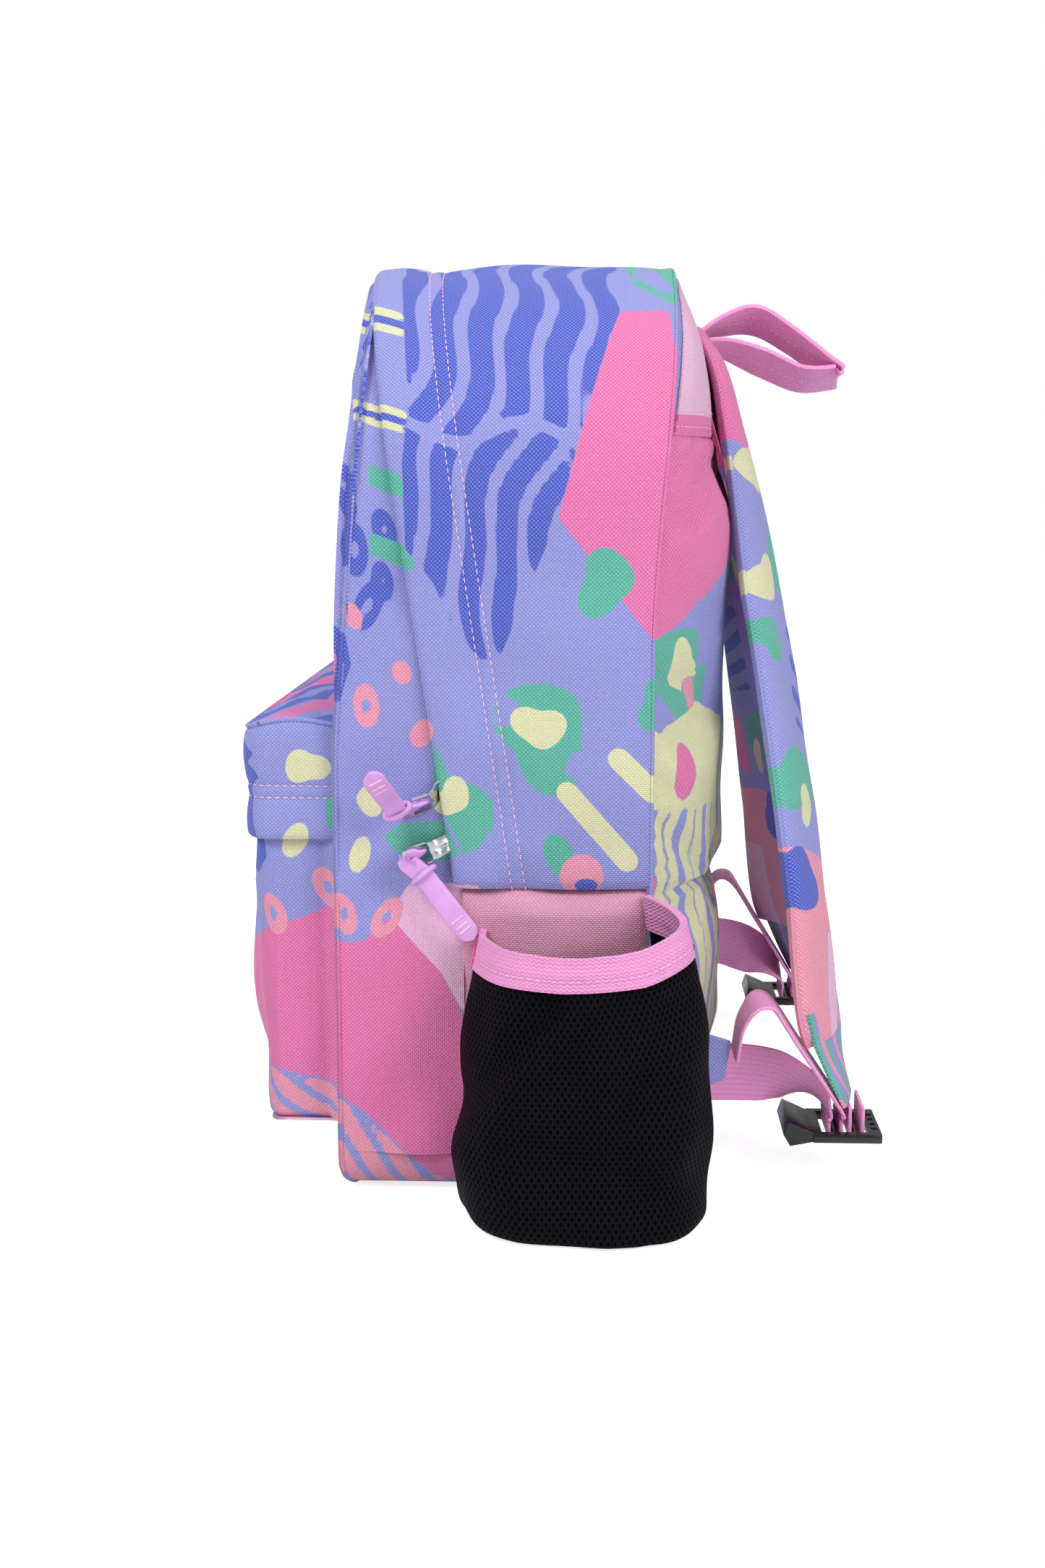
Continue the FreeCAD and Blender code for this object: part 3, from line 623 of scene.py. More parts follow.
def side_print(y, h, right):
    """The collage of the gusset: y is depth and h the height along the cloth. right marks the +X half."""
    p = Print(y, h)
    # bottom: pink block over coral waves
    low = p.seen([(-72, 47), (-56, 36), (-22, 4), (-5, -30), (-72, -30)])
    p.lay("coral", p.waves(11, 0.6, 4, 0.62, 3), low)
    p.draw((
        ("hot", "seen", [(-72, 114), (-62, 111), (-54, 112), (-43, 122.6), (-21.5, 99), (-13, 81),
            (-9, 40), (-16, 2), (-24, 6), (-56, 38), (-72, 48)]),
        ("light", "seen", [(-43, 122.6), (-36, 135), (-5, 137), (-5, 84), (-13, 82), (-21.5, 99)])))
    # the front strip
    for a, b, ra, rb, turn in ((-56, 275, 3.6, 7.5, 0.1), (-51, 252, 3.6, 7, -0.3), (-60, 301, 3, 6, 0.2),
                               (-44, 283, 3, 5.5, 0.3), (-45, 262, 2.6, 5, 0.2)):
        p.lay("blue", p.ring(a, b, ra, rb, 3.6, turn))
    p.draw((
        ("blue", "disc", -58, 292, 3.2, 5.5, 0.3),
        ("blue", "block", [(-66, 246), (-60, 240), (-58, 228), (-62.5, 215), (-66, 210), (-74, 220),
            (-74, 246)]),
        ("hot", "block", [(-67, 238), (-63.5, 231), (-66, 216), (-74, 212), (-74, 238)])))
    for a, b, turn in ((-52.2, 210.8, 0.1), (-62.5, 123.3, 0.3), (-44.5, 121.7, -0.6)):
        p.lay("coral", p.ring(a, b, 3.6, 6.4, 3.4, turn))
    p.draw((
        ("coral", "disc", -37.4, 224.7, 4, 5.2, 0.4), ("coral", "disc", -29.2, 199.4, 4.6, 6.4, -0.5),
        ("coral", "disc", -57, 248, 3.4, 6, 0.4), ("yellow", "blot", -50.7, 172, 6.5, 5),
        ("yellow", "disc", -55.6, 148.3, 4.2, 8, -0.25),
        ("green", "seen", [(-46, 156), (-38, 162), (-20, 163), (-14, 150), (-20, 145), (-40, 149)])))
    for top in (368, 331):
        p.lay("yellow", p.seen([(-56, top + 6), (-30, top - 3), (-30, top - 12), (-56, top - 3)]))
        p.lay("blue", p.seen([(-56, top + 3), (-30, top - 6), (-30, top - 9), (-56, top)]))
    for top in (306, 278):
        p.lay("green", p.seen([(-50, top + 4), (-31, top - 3), (-32, top - 12), (-50, top - 5)]))
    # the blue flames under and behind the hood
    flames = p.seen([(-35, 395), (-33, 332), (-36, 310), (-35, 275), (-24, 262), (-14, 240), (-4, 230),
                     (4, 233), (16, 262), (27, 288), (51, 367), (49, 395)])
    p.lay("lilac", flames)
    fan = Print((p.a - 4) * (1 + 0.0045 * np.clip(322 - p.b, 0, 120)) + 4, p.b)
    stripes = fan.waves(16.5, -0.16, 6.5, 0.62, 11)
    p.lay("blue", np.maximum(stripes, flames))
    gap = np.abs(p.b - 322 - 4 * np.sin(p.a / 8)) - 2.6
    p.lay("lilac", np.maximum(gap, flames))
    p.lay("coral", p.blot(*on_arch(-25, 396), 4.5, 4))
    # hot block behind them
    p.draw((
        ("hot", "seen", [(51, 367), (70, 369), (80, 300), (66, 238), (27, 288)]),
        ("green", "seen", [(50, 395), (56, 378), (76, 369), (82, 369), (76, 395)]),
        ("lilac", "seen", [(58, 386), (72, 377), (72, 373), (57, 380)])))
    # spots and bars lower down
    p.leopard(*on_arch(21, 200), 20, 7)
    p.draw((
        ("green", "seen", [(-24, 196), (-15, 177), (-8, 180), (0, 172), (1, 162), (-6, 152), (-11, 149),
            (-17, 160), (-21, 168), (-25, 175)]),
        ("yellow", "blot", -16.5, 173.5, 7.5, 4), ("green", "blot", 46, 262, 12, 9),
        ("yellow", "line", (31, 176), (56, 147), 9), ("yellow", "line", (52, 190), (66, 176), 9),
        ("green", "disc", 28, 149, 6, 10, 0.4), ("coral", "disc", 37, 141, 9, 9),
        ("blue", "disc", 39, 137, 5, 3), ("green", "blot", 68, 212, 9, 14)))
    if not right:
        other = Print(y, h)
        other.scatter(17, (-80, 90), (-10, 520))
        return other
    return p


def gusset_inks(y, s):
    """Inks of the cloth that runs round the shell: a different collage on each side, joined at the top."""
    h = CROWN - np.abs(s)
    right, left = side_print(y, h, True).attributes(), side_print(y, h, False).attributes()
    return {k: np.where(s > 0, right[k], left[k]) for k in right}


# ---- shaders -------------------------------------------------------------------------------------
def add(tree, kind, **values):
    """A node of a tree, with its settings, and its sockets' values by name."""
    made = tree.nodes.new(kind)
    for key, value in values.items():
        if key in made.inputs:
            made.inputs[key].default_value = value
        else:
            setattr(made, key, value)
    return made


def math_node(tree, operation, a, b=0.0, clamp=False):
    made = add(tree, "ShaderNodeMath", operation=operation, use_clamp=clamp)
    for socket, value in zip(made.inputs, (a, b)):
        if isinstance(value, bpy.types.NodeSocket):
            tree.links.new(value, socket)
        else:
            socket.default_value = value
    return made.outputs[0]


def spread(tree, value, low, high, to_low=0.0, to_high=1.0):
    made = add(tree, "ShaderNodeMapRange")
    tree.links.new(value, made.inputs["Value"])
    for key, number in (("From Min", low), ("From Max", high), ("To Min", to_low), ("To Max", to_high)):
        made.inputs[key].default_value = number
    return made.outputs["Result"]


def mixed(tree, share, a, b, blend="MIX"):
    made = add(tree, "ShaderNodeMix", data_type="RGBA", blend_type=blend)
    for socket, value in ((made.inputs[0], share), (made.inputs[6], a), (made.inputs[7], b)):
        if isinstance(value, bpy.types.NodeSocket):
            tree.links.new(value, socket)
        else:
            socket.default_value = value
    return made.outputs[2]


def group(name, inputs, outputs):
    """A new shader group with its sockets, and its input and output nodes."""
    tree = bpy.data.node_groups.new(name, "ShaderNodeTree")
    for key, kind in inputs:
        tree.interface.new_socket(key, in_out="INPUT", socket_type=kind)
    for key, kind in outputs:
        tree.interface.new_socket(key, in_out="OUTPUT", socket_type=kind)
    return tree, tree.nodes.new("NodeGroupInput"), tree.nodes.new("NodeGroupOutput")


def weave_group():
    """Plain weave over cloth coordinates in mm: where a light thread shows, its height and its tone."""
    if "Plain weave" in bpy.data.node_groups:
        return bpy.data.node_groups["Plain weave"]
    tree, start, end = group("Plain weave", [("Cloth", "NodeSocketVector"), ("Pitch", "NodeSocketFloat")],
                             [("Dot", "NodeSocketFloat"), ("Height", "NodeSocketFloat"),
                              ("Tone", "NodeSocketFloat")])
    link = tree.links.new
    wobble = add(tree, "ShaderNodeTexNoise", Scale=0.35, Detail=1.0)
    link(start.outputs["Cloth"], wobble.inputs["Vector"])
    shift = add(tree, "ShaderNodeVectorMath", operation="SCALE")
    link(wobble.outputs["Color"], shift.inputs[0])
    shift.inputs["Scale"].default_value = 0.5
    moved = add(tree, "ShaderNodeVectorMath", operation="ADD")
    link(start.outputs["Cloth"], moved.inputs[0])
    link(shift.outputs[0], moved.inputs[1])
    parts = add(tree, "ShaderNodeSeparateXYZ")
    link(moved.outputs[0], parts.inputs[0])
    waves = []
    for axis in ("X", "Y"):
        turns = math_node(tree, "DIVIDE", math_node(tree, "MULTIPLY", parts.outputs[axis], math.pi),
                          start.outputs["Pitch"])
        waves.append(math_node(tree, "SINE", turns))
    product = math_node(tree, "MULTIPLY", *waves)
    link(spread(tree, product, -0.15, 0.75), end.inputs["Dot"])
    crossing = math_node(tree, "ABSOLUTE", product)
    link(math_node(tree, "ADD", math_node(tree, "MULTIPLY", crossing, 0.5),
                   spread(tree, product, -0.2, 0.9, 0.0, 0.6)), end.inputs["Height"])
    thread = add(tree, "ShaderNodeTexNoise", Scale=0.9, Detail=3.0, Roughness=0.7)
    link(start.outputs["Cloth"], thread.inputs["Vector"])
    link(thread.outputs["Fac"], end.inputs["Tone"])
    return tree


def ink_group():
    """The print: each ink covers those before it where its distance is below zero."""
    if "Collage print" in bpy.data.node_groups:
        return bpy.data.node_groups["Collage print"]
    inputs = [("Ground", "NodeSocketColor")]
    for key in INKS:
        inputs += [(key.title(), "NodeSocketColor"), (key.title() + " edge", "NodeSocketFloat")]
    tree, start, end = group("Collage print", inputs, [("Color", "NodeSocketColor")])
    colour_now = start.outputs["Ground"]
    for key in INKS:
        cover = spread(tree, start.outputs[key.title() + " edge"], 0.25, -0.25)
        colour_now = mixed(tree, cover, colour_now, start.outputs[key.title()])
    tree.links.new(colour_now, end.inputs["Color"])
    return tree


def new_material(name):
    material = bpy.data.materials.new(name)
    material.use_nodes = True
    tree = material.node_tree
    tree.nodes.clear()
    shader, out = add(tree, "ShaderNodeBsdfPrincipled"), add(tree, "ShaderNodeOutputMaterial")
    tree.links.new(shader.outputs[0], out.inputs[0])
    return material, tree, shader


def cloth_place(tree, own=True):
    """The cloth coordinates in mm: the piece's own attribute, or its object coordinates."""
    if own:
        return add(tree, "ShaderNodeAttribute", attribute_name="cloth").outputs["Vector"]
    place = add(tree, "ShaderNodeTexCoord")
    scaled = add(tree, "ShaderNodeVectorMath", operation="SCALE")
    tree.links.new(place.outputs["Object"], scaled.inputs[0])
    scaled.inputs["Scale"].default_value = 1 / MM
    return scaled.outputs[0]


def bumped(tree, shader, height, distance):
    bump = add(tree, "ShaderNodeBump", Strength=1.0, Distance=distance * MM)
    tree.links.new(height, bump.inputs["Height"])
    tree.links.new(bump.outputs[0], shader.inputs["Normal"])


def woven(name, colour_of, pitch=None, own=True, dots=0.2, bump=0.3, rough=0.72):
    """A coarse woven cloth. colour_of(tree) gives the colour its threads are dyed."""
    if name in bpy.data.materials:
        return bpy.data.materials[name]
    material, tree, shader = new_material(name)
    link = tree.links.new
    weave = add(tree, "ShaderNodeGroup", node_tree=weave_group())
    weave.inputs["Pitch"].default_value = pitch or sizes().weave / MM
    link(cloth_place(tree, own), weave.inputs["Cloth"])
    dyed = colour_of(tree)
    deep = mixed(tree, 1.0, dyed, (0.80, 0.79, 0.84, 1), "MULTIPLY")
    pale = mixed(tree, dots, dyed, (0.93, 0.93, 0.97, 1))
    lit = mixed(tree, weave.outputs["Dot"], deep, pale)
    tone = spread(tree, weave.outputs["Tone"], 0.3, 0.7, 0.93, 1.05)
    link(mixed(tree, 1.0, lit, tone, "MULTIPLY"), shader.inputs["Base Color"])
    rougher = spread(tree, weave.outputs["Dot"], 0.0, 1.0, rough + 0.1, rough - 0.08)
    link(rougher, shader.inputs["Roughness"])
    shader.inputs["Sheen Weight"].default_value = 0.12
    shader.inputs["Sheen Roughness"].default_value = 0.5
    shader.inputs["Specular IOR Level"].default_value = 0.3
    bumped(tree, shader, weave.outputs["Height"], bump)
    return material


def printed():
    """The shell cloth with its collage."""
    def colours(tree):
        inks = add(tree, "ShaderNodeGroup", node_tree=ink_group())
        inks.inputs["Ground"].default_value = paint("lilac")
        for key in INKS:
            inks.inputs[key.title()].default_value = paint(key)
            field = add(tree, "ShaderNodeAttribute", attribute_name="ink_" + key)
            tree.links.new(field.outputs["Fac"], inks.inputs[key.title() + " edge"])
        return inks.outputs["Color"]

    return woven("printed cloth", colours)


def plain(name, key, **looks):
    """A cloth of one colour."""
    def colours(tree):
        return add(tree, "ShaderNodeRGB").outputs[0]

    new = name not in bpy.data.materials
    material = woven(name, colours, **looks)
    if new:
        dye = next(n for n in material.node_tree.nodes if n.bl_idname == "ShaderNodeRGB")
        dye.outputs[0].default_value = paint(key)
    return material


def lining():
    return plain("pale lining", "light", pitch=0.7, dots=0.12, bump=0.08)


def ribbed(name, key, pitch=1.1, across=True, rough=0.55, lines=0.0):
    """Woven tape: fine ribs across its length, and lengthwise lines where lines is above 0."""
    if name in bpy.data.materials:
        return bpy.data.materials[name]
    material, tree, shader = new_material(name)
    link = tree.links.new
    parts = add(tree, "ShaderNodeSeparateXYZ")
    link(cloth_place(tree), parts.inputs[0])
    along, over = (parts.outputs["X"], parts.outputs["Y"]) if across else (parts.outputs["Y"],
            parts.outputs["X"])
    slant = math_node(tree, "ADD", along, math_node(tree, "MULTIPLY", math_node(tree, "PINGPONG", over, 1.2),
            0.8))
    ribs = math_node(tree, "SINE", math_node(tree, "MULTIPLY", slant, 2 * math.pi / pitch))
    rows = math_node(tree, "SINE", math_node(tree, "MULTIPLY", over, 2 * math.pi / 2.4))
    height = math_node(tree, "ADD", math_node(tree, "MULTIPLY", ribs, 0.5 if across else 1.0),
                       math_node(tree, "MULTIPLY", rows, lines))
    fibre = add(tree, "ShaderNodeTexNoise", Scale=1.3, Detail=3.0)
    link(cloth_place(tree), fibre.inputs["Vector"])
    shade = spread(tree, height, -1.0, 1.0, 0.8, 1.06)
    tone = math_node(tree, "MULTIPLY", shade, spread(tree, fibre.outputs["Fac"], 0.3, 0.7, 0.94, 1.05))
    link(mixed(tree, 1.0, paint(key), tone, "MULTIPLY"), shader.inputs["Base Color"])
    link(spread(tree, fibre.outputs["Fac"], 0.3, 0.7, rough - 0.05, rough + 0.1), shader.inputs["Roughness"])
    shader.inputs["Sheen Weight"].default_value = 0.15
    bumped(tree, shader, height, 0.18)
    return material


def webbing_tape():
    return ribbed("woven webbing", "webbing", 1.0, True, 0.5, 0.3)


def elastic_tape():
    return ribbed("ribbed elastic", "webbing", 1.5, False, 0.6)


def knitted_mesh():
    """Black knit with columns of small holes; the holes are painted near black, a painted shade seen through the
    knit.
    """
    name = "black knitted mesh"
    if name in bpy.data.materials:
        return bpy.data.materials[name]
    material, tree, shader = new_material(name)
    link = tree.links.new
    pitch = sizes().knit / MM
    parts = add(tree, "ShaderNodeSeparateXYZ")
    link(cloth_place(tree), parts.inputs[0])
    over = math_node(tree, "COSINE", math_node(tree, "MULTIPLY", parts.outputs["X"], math.pi / pitch * 2))
    up = math_node(tree, "COSINE", math_node(tree, "MULTIPLY", parts.outputs["Y"], math.pi / pitch * 1.3))
    hole = spread(tree, math_node(tree, "MULTIPLY", over, up), 0.25, 0.5)
    twist = math_node(tree, "SINE", math_node(tree, "MULTIPLY", math_node(tree, "ADD", parts.outputs["Y"],
                      math_node(tree, "MULTIPLY", over, 0.5)), 9.0))
    yarn = mixed(tree, spread(tree, twist, -1.0, 1.0), paint("mesh"), (0.005, 0.005, 0.009, 1))
    # the holes are painted near black: painted shade seen through the knit
    link(mixed(tree, hole, yarn, (0.0002, 0.0002, 0.0004, 1)), shader.inputs["Base Color"])
    link(spread(tree, hole, 0.0, 1.0, 0.5, 0.95), shader.inputs["Roughness"])
    shader.inputs["Specular IOR Level"].default_value = 0.05
    height = math_node(tree, "ADD", math_node(tree, "MULTIPLY", hole, -1.0),
                       math_node(tree, "MULTIPLY", twist, 0.15))
    bumped(tree, shader, height, 0.5)
    return material


def smooth_finish(name, key, rough, metal=0.0, coat=0.0, grain=0.05, soft=0.0):
    """Moulded rubber, plastic or cast metal, with a faint unevenness."""
    if name in bpy.data.materials:
        return bpy.data.materials[name]
    material, tree, shader = new_material(name)
    link = tree.links.new
    place = add(tree, "ShaderNodeTexCoord")
    fine = add(tree, "ShaderNodeTexNoise", Scale=900.0, Detail=3.0)
    broad = add(tree, "ShaderNodeTexNoise", Scale=140.0, Detail=2.0)
    for texture in (fine, broad):
        link(place.outputs["Object"], texture.inputs["Vector"])
    tone = spread(tree, broad.outputs["Fac"], 0.3, 0.7, 0.94, 1.04)
    link(mixed(tree, 1.0, paint(key), tone, "MULTIPLY"), shader.inputs["Base Color"])
    link(spread(tree, broad.outputs["Fac"], 0.3, 0.7, rough * 0.85, rough * 1.2), shader.inputs["Roughness"])
    for key, value in (("Metallic", metal), ("Coat Weight", coat), ("Coat Roughness", 0.15),
                       ("Subsurface Weight", soft), ("Subsurface Scale", 0.002)):
        shader.inputs[key].default_value = value
    bumped(tree, shader, fine.outputs["Fac"], grain)
    return material


def sewing_thread(name="pink thread", key="light"):
    return smooth_finish(name, key, 0.55, grain=0.02)


# ---- stitches and teeth: small beads repeated along lines ----------------------------------------
def bead_group():
    """Geometry group: rounded beads at even distances along the edges of a mesh."""
    name = "Beads along a line"
    if name in bpy.data.node_groups:
        return bpy.data.node_groups[name]
    tree = bpy.data.node_groups.new(name, "GeometryNodeTree")
    tree.interface.new_socket("Geometry", in_out="INPUT", socket_type="NodeSocketGeometry")
    for key, value in (("Pitch", 3.4), ("Length", 2.6), ("Width", 0.6), ("Height", 0.5)):
        socket = tree.interface.new_socket(key, in_out="INPUT", socket_type="NodeSocketFloat")
        socket.default_value = value * MM
    tree.interface.new_socket("Material", in_out="INPUT", socket_type="NodeSocketMaterial")
    tree.interface.new_socket("Geometry", in_out="OUTPUT", socket_type="NodeSocketGeometry")
    start, end = tree.nodes.new("NodeGroupInput"), tree.nodes.new("NodeGroupOutput")
    link = tree.links.new
    curve = add(tree, "GeometryNodeMeshToCurve")
    link(start.outputs["Geometry"], curve.inputs["Mesh"])
    even = add(tree, "GeometryNodeResampleCurve", mode="LENGTH")
    link(curve.outputs[0], even.inputs["Curve"])
    link(start.outputs["Pitch"], even.inputs["Length"])
    tangent = add(tree, "GeometryNodeInputTangent")
    upward = add(tree, "GeometryNodeInputNamedAttribute", data_type="FLOAT_VECTOR", Name="up")
    along = add(tree, "FunctionNodeAlignRotationToVector", axis="Z")
    link(tangent.outputs[0], along.inputs["Vector"])
    stood = add(tree, "FunctionNodeAlignRotationToVector", axis="X", pivot_axis="Z")
    link(along.outputs[0], stood.inputs["Rotation"])
    link(upward.outputs["Attribute"], stood.inputs["Vector"])
    bead = add(tree, "GeometryNodeMeshUVSphere", Segments=6, Rings=4, Radius=0.5)
    size = add(tree, "ShaderNodeCombineXYZ")
    for axis, key in (("X", "Height"), ("Y", "Width"), ("Z", "Length")):
        link(start.outputs[key], size.inputs[axis])
    place = add(tree, "GeometryNodeInstanceOnPoints")
    link(even.outputs[0], place.inputs["Points"])
    link(bead.outputs["Mesh"], place.inputs["Instance"])
    link(stood.outputs[0], place.inputs["Rotation"])
    link(size.outputs[0], place.inputs["Scale"])
    real = add(tree, "GeometryNodeRealizeInstances")
    link(place.outputs[0], real.inputs[0])
    finish = add(tree, "GeometryNodeSetMaterial")
    link(real.outputs[0], finish.inputs["Geometry"])
    link(start.outputs["Material"], finish.inputs["Material"])
    link(finish.outputs[0], end.inputs[0])
    return tree


def beads(name, lines, material, pitch, long, wide, high):
    """One mesh of beads along several lines, each a pair (points, directions away from the cloth)."""
    points, ups, edges = [], [], []
    for line, up in lines:
        first = sum(len(p) for p in points)
        points.append(np.asarray(line, float))
        ups.append(np.broadcast_to(np.asarray(up, float), np.shape(line)))
        edges += [(first + k, first + k + 1) for k in range(len(line) - 1)]
    mesh = bpy.data.meshes.new(name)
    mesh.from_pydata((np.vstack(points) * MM).tolist(), edges, [])
    mesh.attributes.new("up", "FLOAT_VECTOR", "POINT").data.foreach_set(
        "vector", np.vstack(ups).astype(np.float32).ravel())
    thing = placed(name, mesh)
    tree = bead_group()
    modifier = thing.modifiers.new("beads", "NODES")
    modifier.node_group = tree
    values = {"Pitch": pitch * MM, "Length": long * MM, "Width": wide * MM, "Height": high * MM,
              "Material": material}
    for item in tree.interface.items_tree:
        if item.in_out == "INPUT" and item.name in values:
            modifier[item.identifier] = values[item.name]
    made = bpy.data.meshes.new_from_object(thing.evaluated_get(bpy.context.evaluated_depsgraph_get()))
    thing.modifiers.clear()
    thing.data = made
    made.shade_smooth()
    bpy.data.meshes.remove(mesh)
    return thing


def stitches(name, lines, key="light"):
    s = sizes()
    return beads(name, lines, sewing_thread("thread " + key, key), s.stitch / MM, s.stitch / MM * 0.72,
                 s.thread / MM, s.thread / MM * 0.8)


def mirrored(line):
    """The other side's twin of a line or grid of points."""
    return np.asarray(line, float) * (-1, 1, 1)


def on_side(side, points):
    """Points given for the +X side, as they stand on the "right" or the "left" of the bag."""
    return np.asarray(points, float) if side == "right" else mirrored(points)


def rides(piece, body, stands_for=()):
    """Ties a finished piece to its body and hides the CAD parts it stands for."""
    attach(piece, body)
    if stands_for:
        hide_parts(*stands_for)
    return piece


def lined(name, grid, cloth, inks):
    """A sheet of the printed cloth with its lining behind it."""
    return skin(name, grid, sizes().cloth / MM, [printed(), lining()], cloth, inks, inside=1)


# ---- shell ---------------------------------------------------------------------------------------
S_HEM = round_to(HEM)
S_LOW = round_to(19.0)
HOOD_STITCH, HOOD_ROOT, HOOD_END = 24.0, 29.6, 34.0     # across the hood: topstitch, root seam, flat cloth
BACK_SEAM = 130.0                                       # the seam across the back padding
YOKE_LOW, YOKE_STITCH = 320.5, 324.5


def rear_cloth_grid():
    """The rear gusset with the zipper hood in one, from the hood's free edge to the back seam."""
    s = np.linspace(-S_HEM, S_HEM, 341)
    z = outline(s)[1]
    fixed = np.array([0, .5, 1.2, 2.2, 4, 7, 10, 13, 16, 19, 21.5, 23.2, 24, 24.8, 26, 27.4, 28.8, 29.6, 30.4,
                      31.6, 34])
    wide = back_y(z) - hood_y(z)
    share = np.linspace(0, 1, 22)[1:]
    rest = HOOD_END + (wide[:, None] - HOOD_END) * share[None]
    d = np.hstack([np.tile(fixed, (len(s), 1)), rest])
    y = hood_y(z)[:, None] + d
    h = (CROWN - np.abs(s))[:, None]
    lift = (-1.1 * dent(d, 0.8) + 1.3 * hump(d / HOOD_STITCH) - 0.7 * dent(d - HOOD_STITCH, 1.1)
            - 0.7 * dent(d - HOOD_ROOT, 1.1))
    lift = lift + 2.2 * hump((d - 32) / (wide[:, None] - HOOD_END), 0.8) + 0.9 * dent(d - wide[:, None], 3)
    lift = lift + 1.0 * ripple(h, y, 5, 62) * ease(d / 12) * ease((wide[:, None] - d) / 8)
    lift = (lift + 1.4 * ease((172 - h) / 34) * hump((y + 16) / 80)
            + 0.8 * ripple(h, y, 8, 24) * ease((170 - h) / 40))
    hood = ease((HOOD_STITCH - d) / 20)
    lift = lift + hood * ease((210 - h) / 50) * (1.0 + 0.8 * np.sin(h / 9))
    lift = lift - 1.2 * dent(h - HEM, 1.6)
    return s, y, lift


def front_strip_grid():
    """The cloth between the front seam and the zipper, all the way down to the base on both sides."""
    s = np.linspace(-S_LOW, S_LOW, 421)
    z = outline(s)[1]
    h = CROWN - np.abs(s)
    rear = np.where(h > HEM, zip_y(z) - 4, np.interp(h, [HEM - 7, HEM], [-12, -8]))
    t = np.linspace(0, 1, 20)
    y = front_y(z)[:, None] + (rear - front_y(z))[:, None] * t[None]
    d = y - front_y(z)[:, None]
    h = h[:, None]
    above = ease((h - 112) / 22)
    lift = -ZIP_LIFT * above * ease(d / 20) + 1.2 * hump(d / 52) * (1 - above)
    lift = lift - 4.2 * ease((h - 280) / 70) * dent(d, 10)
    lift = lift + 1.5 * ripple(h, y, 12, 48) * hump(t[None], 0.6) - 0.6 * dent(d - 1.5, 1.4)
    crease = (h - 118) + 0.9 * (y + 40)
    lift = lift + 1.3 * np.exp(-(crease / 9) ** 2) * ease((150 - h) / 20) * ease((h - 70) / 20)
    return s, y, lift


def arch_half(z, inset=0.0):
    """Half the width of the arch at a height."""
    r, b, top = SHOULDER_R - inset, BASE_R - inset, HEIGHT - SHOULDER_R
    upper = HALF - SHOULDER_R + np.sqrt(np.maximum(r ** 2 - np.maximum(0, z - top) ** 2, 0))
    lower = HALF - BASE_R + np.sqrt(np.maximum(b ** 2 - np.maximum(0, BASE_R - z) ** 2, 0))
    return np.minimum(upper, lower)


def panel_grid(low, high, inset, rows, columns):
    """Heights and x of a panel cut to the arch, its rows closer together near the top."""
    z = low + (high - low) * np.sin(np.linspace(0, np.pi / 2, rows)) ** 1.1
    u = np.sin(np.linspace(-1, 1, columns) * np.pi / 2 * 0.92) / math.sin(np.pi / 2 * 0.92)
    x = arch_half(z, inset)[:, None] * u[None]
    return np.broadcast_to(z[:, None], x.shape), x


def edge_distance(x, z):
    """How far a point of a panel is from its arched edge."""
    over = np.maximum(0, z - (HEIGHT - SHOULDER_R))
    corner = SHOULDER_R - np.hypot(np.maximum(0, np.abs(x) - FLAT), over)
    return np.where(over > 0, corner, np.minimum(HALF - np.abs(x), z))


class BACKPACK_OT_shell(bpy.types.Operator):
    """Builds the cloth round the shell: rear gusset with its hood, front strip, side panels and base"""
    bl_idname = "backpack.shell"
    bl_label = "Build the shell"

    def execute(self, context):
        s, y, lift = rear_cloth_grid()
        grid = band(s, y, lift)
        rear = lined("rear_gusset_cloth", grid, cloth_lines(s[:, None], y), gusset_inks(y, s[:, None]))
        rides(rear, "root", ("rear_gusset", "zipper_hood"))
        away = facing(grid)
        rows = [(grid[:, k] + 0.25 * away[:, k], away[:, k]) for k in (12, 17)]
        rides(stitches("hood_topstitch", rows), "root")
        s, y, lift = front_strip_grid()
        strip = lined("front_strip_cloth", band(s, y, lift), cloth_lines(s[:, None], y),
                      gusset_inks(y, s[:, None]))
        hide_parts("front_gusset_lower_right", "front_gusset_lower_left", "front_gusset_upper")
        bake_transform(strip, "root", "mouth_flap", (0, front_y(FOLD) * MM, 0.215), (0, front_y(FOLD) * MM, 0.246))
        self.lower_panels()
        self.base()
        return {"FINISHED"}

    def lower_panels(self):
        s = np.linspace(round_to(HEM + 1), round_to(18.5), 60)
        y = np.broadcast_to(np.linspace(-12.5, SEAM, 36)[None], (60, 36))
        h = (CROWN - s)[:, None]
        across = (y + 12.5) / (SEAM + 12.5)
        swell = 5.0 * ease((133 - h) / 9) * ease((h - 70) / 50) + 1.5
        lift = -2.6 * ease((h - 131) / 3) + swell * hump(across, 0.6)
        lift = (lift + 1.2 * ripple(h, y, 31, 30) * hump(across, 0.5) * ease((132 - h) / 6)
                - 0.6 * dent(h - HEM, 2))
        grid = band(s, y, lift)
        for side, points in (("right", grid), ("left", mirrored(grid)[::-1])):
            piece = skin("lower_side_cloth_" + side, points, sizes().cloth / MM,
                         [plain("plain pink cloth", "rose")], cloth_lines(h, np.array(y)))
            rides(piece, "root", ("lower_side_panel_" + side,))

    def base(self):
        s = np.linspace(round_to(20.0), 2 * GIRTH - round_to(20.0), 150)
        low = outline(s)[1][:, None]
        y = front_y(low) + (back_y(low) - front_y(low)) * np.linspace(0, 1, 40)[None]
        grid = band(s, y, -0.2 + 0 * y)
        grid[..., 2] = np.maximum(grid[..., 2], 0.05)
        beyond = np.where(s > GIRTH, s - 2 * GIRTH, s)
        inks = gusset_inks(np.array(y), beyond[:, None])
        piece = lined("base_cloth", grid, cloth_lines(s[:, None], np.array(y)), inks)
        rides(piece, "root", ("base_panel",))


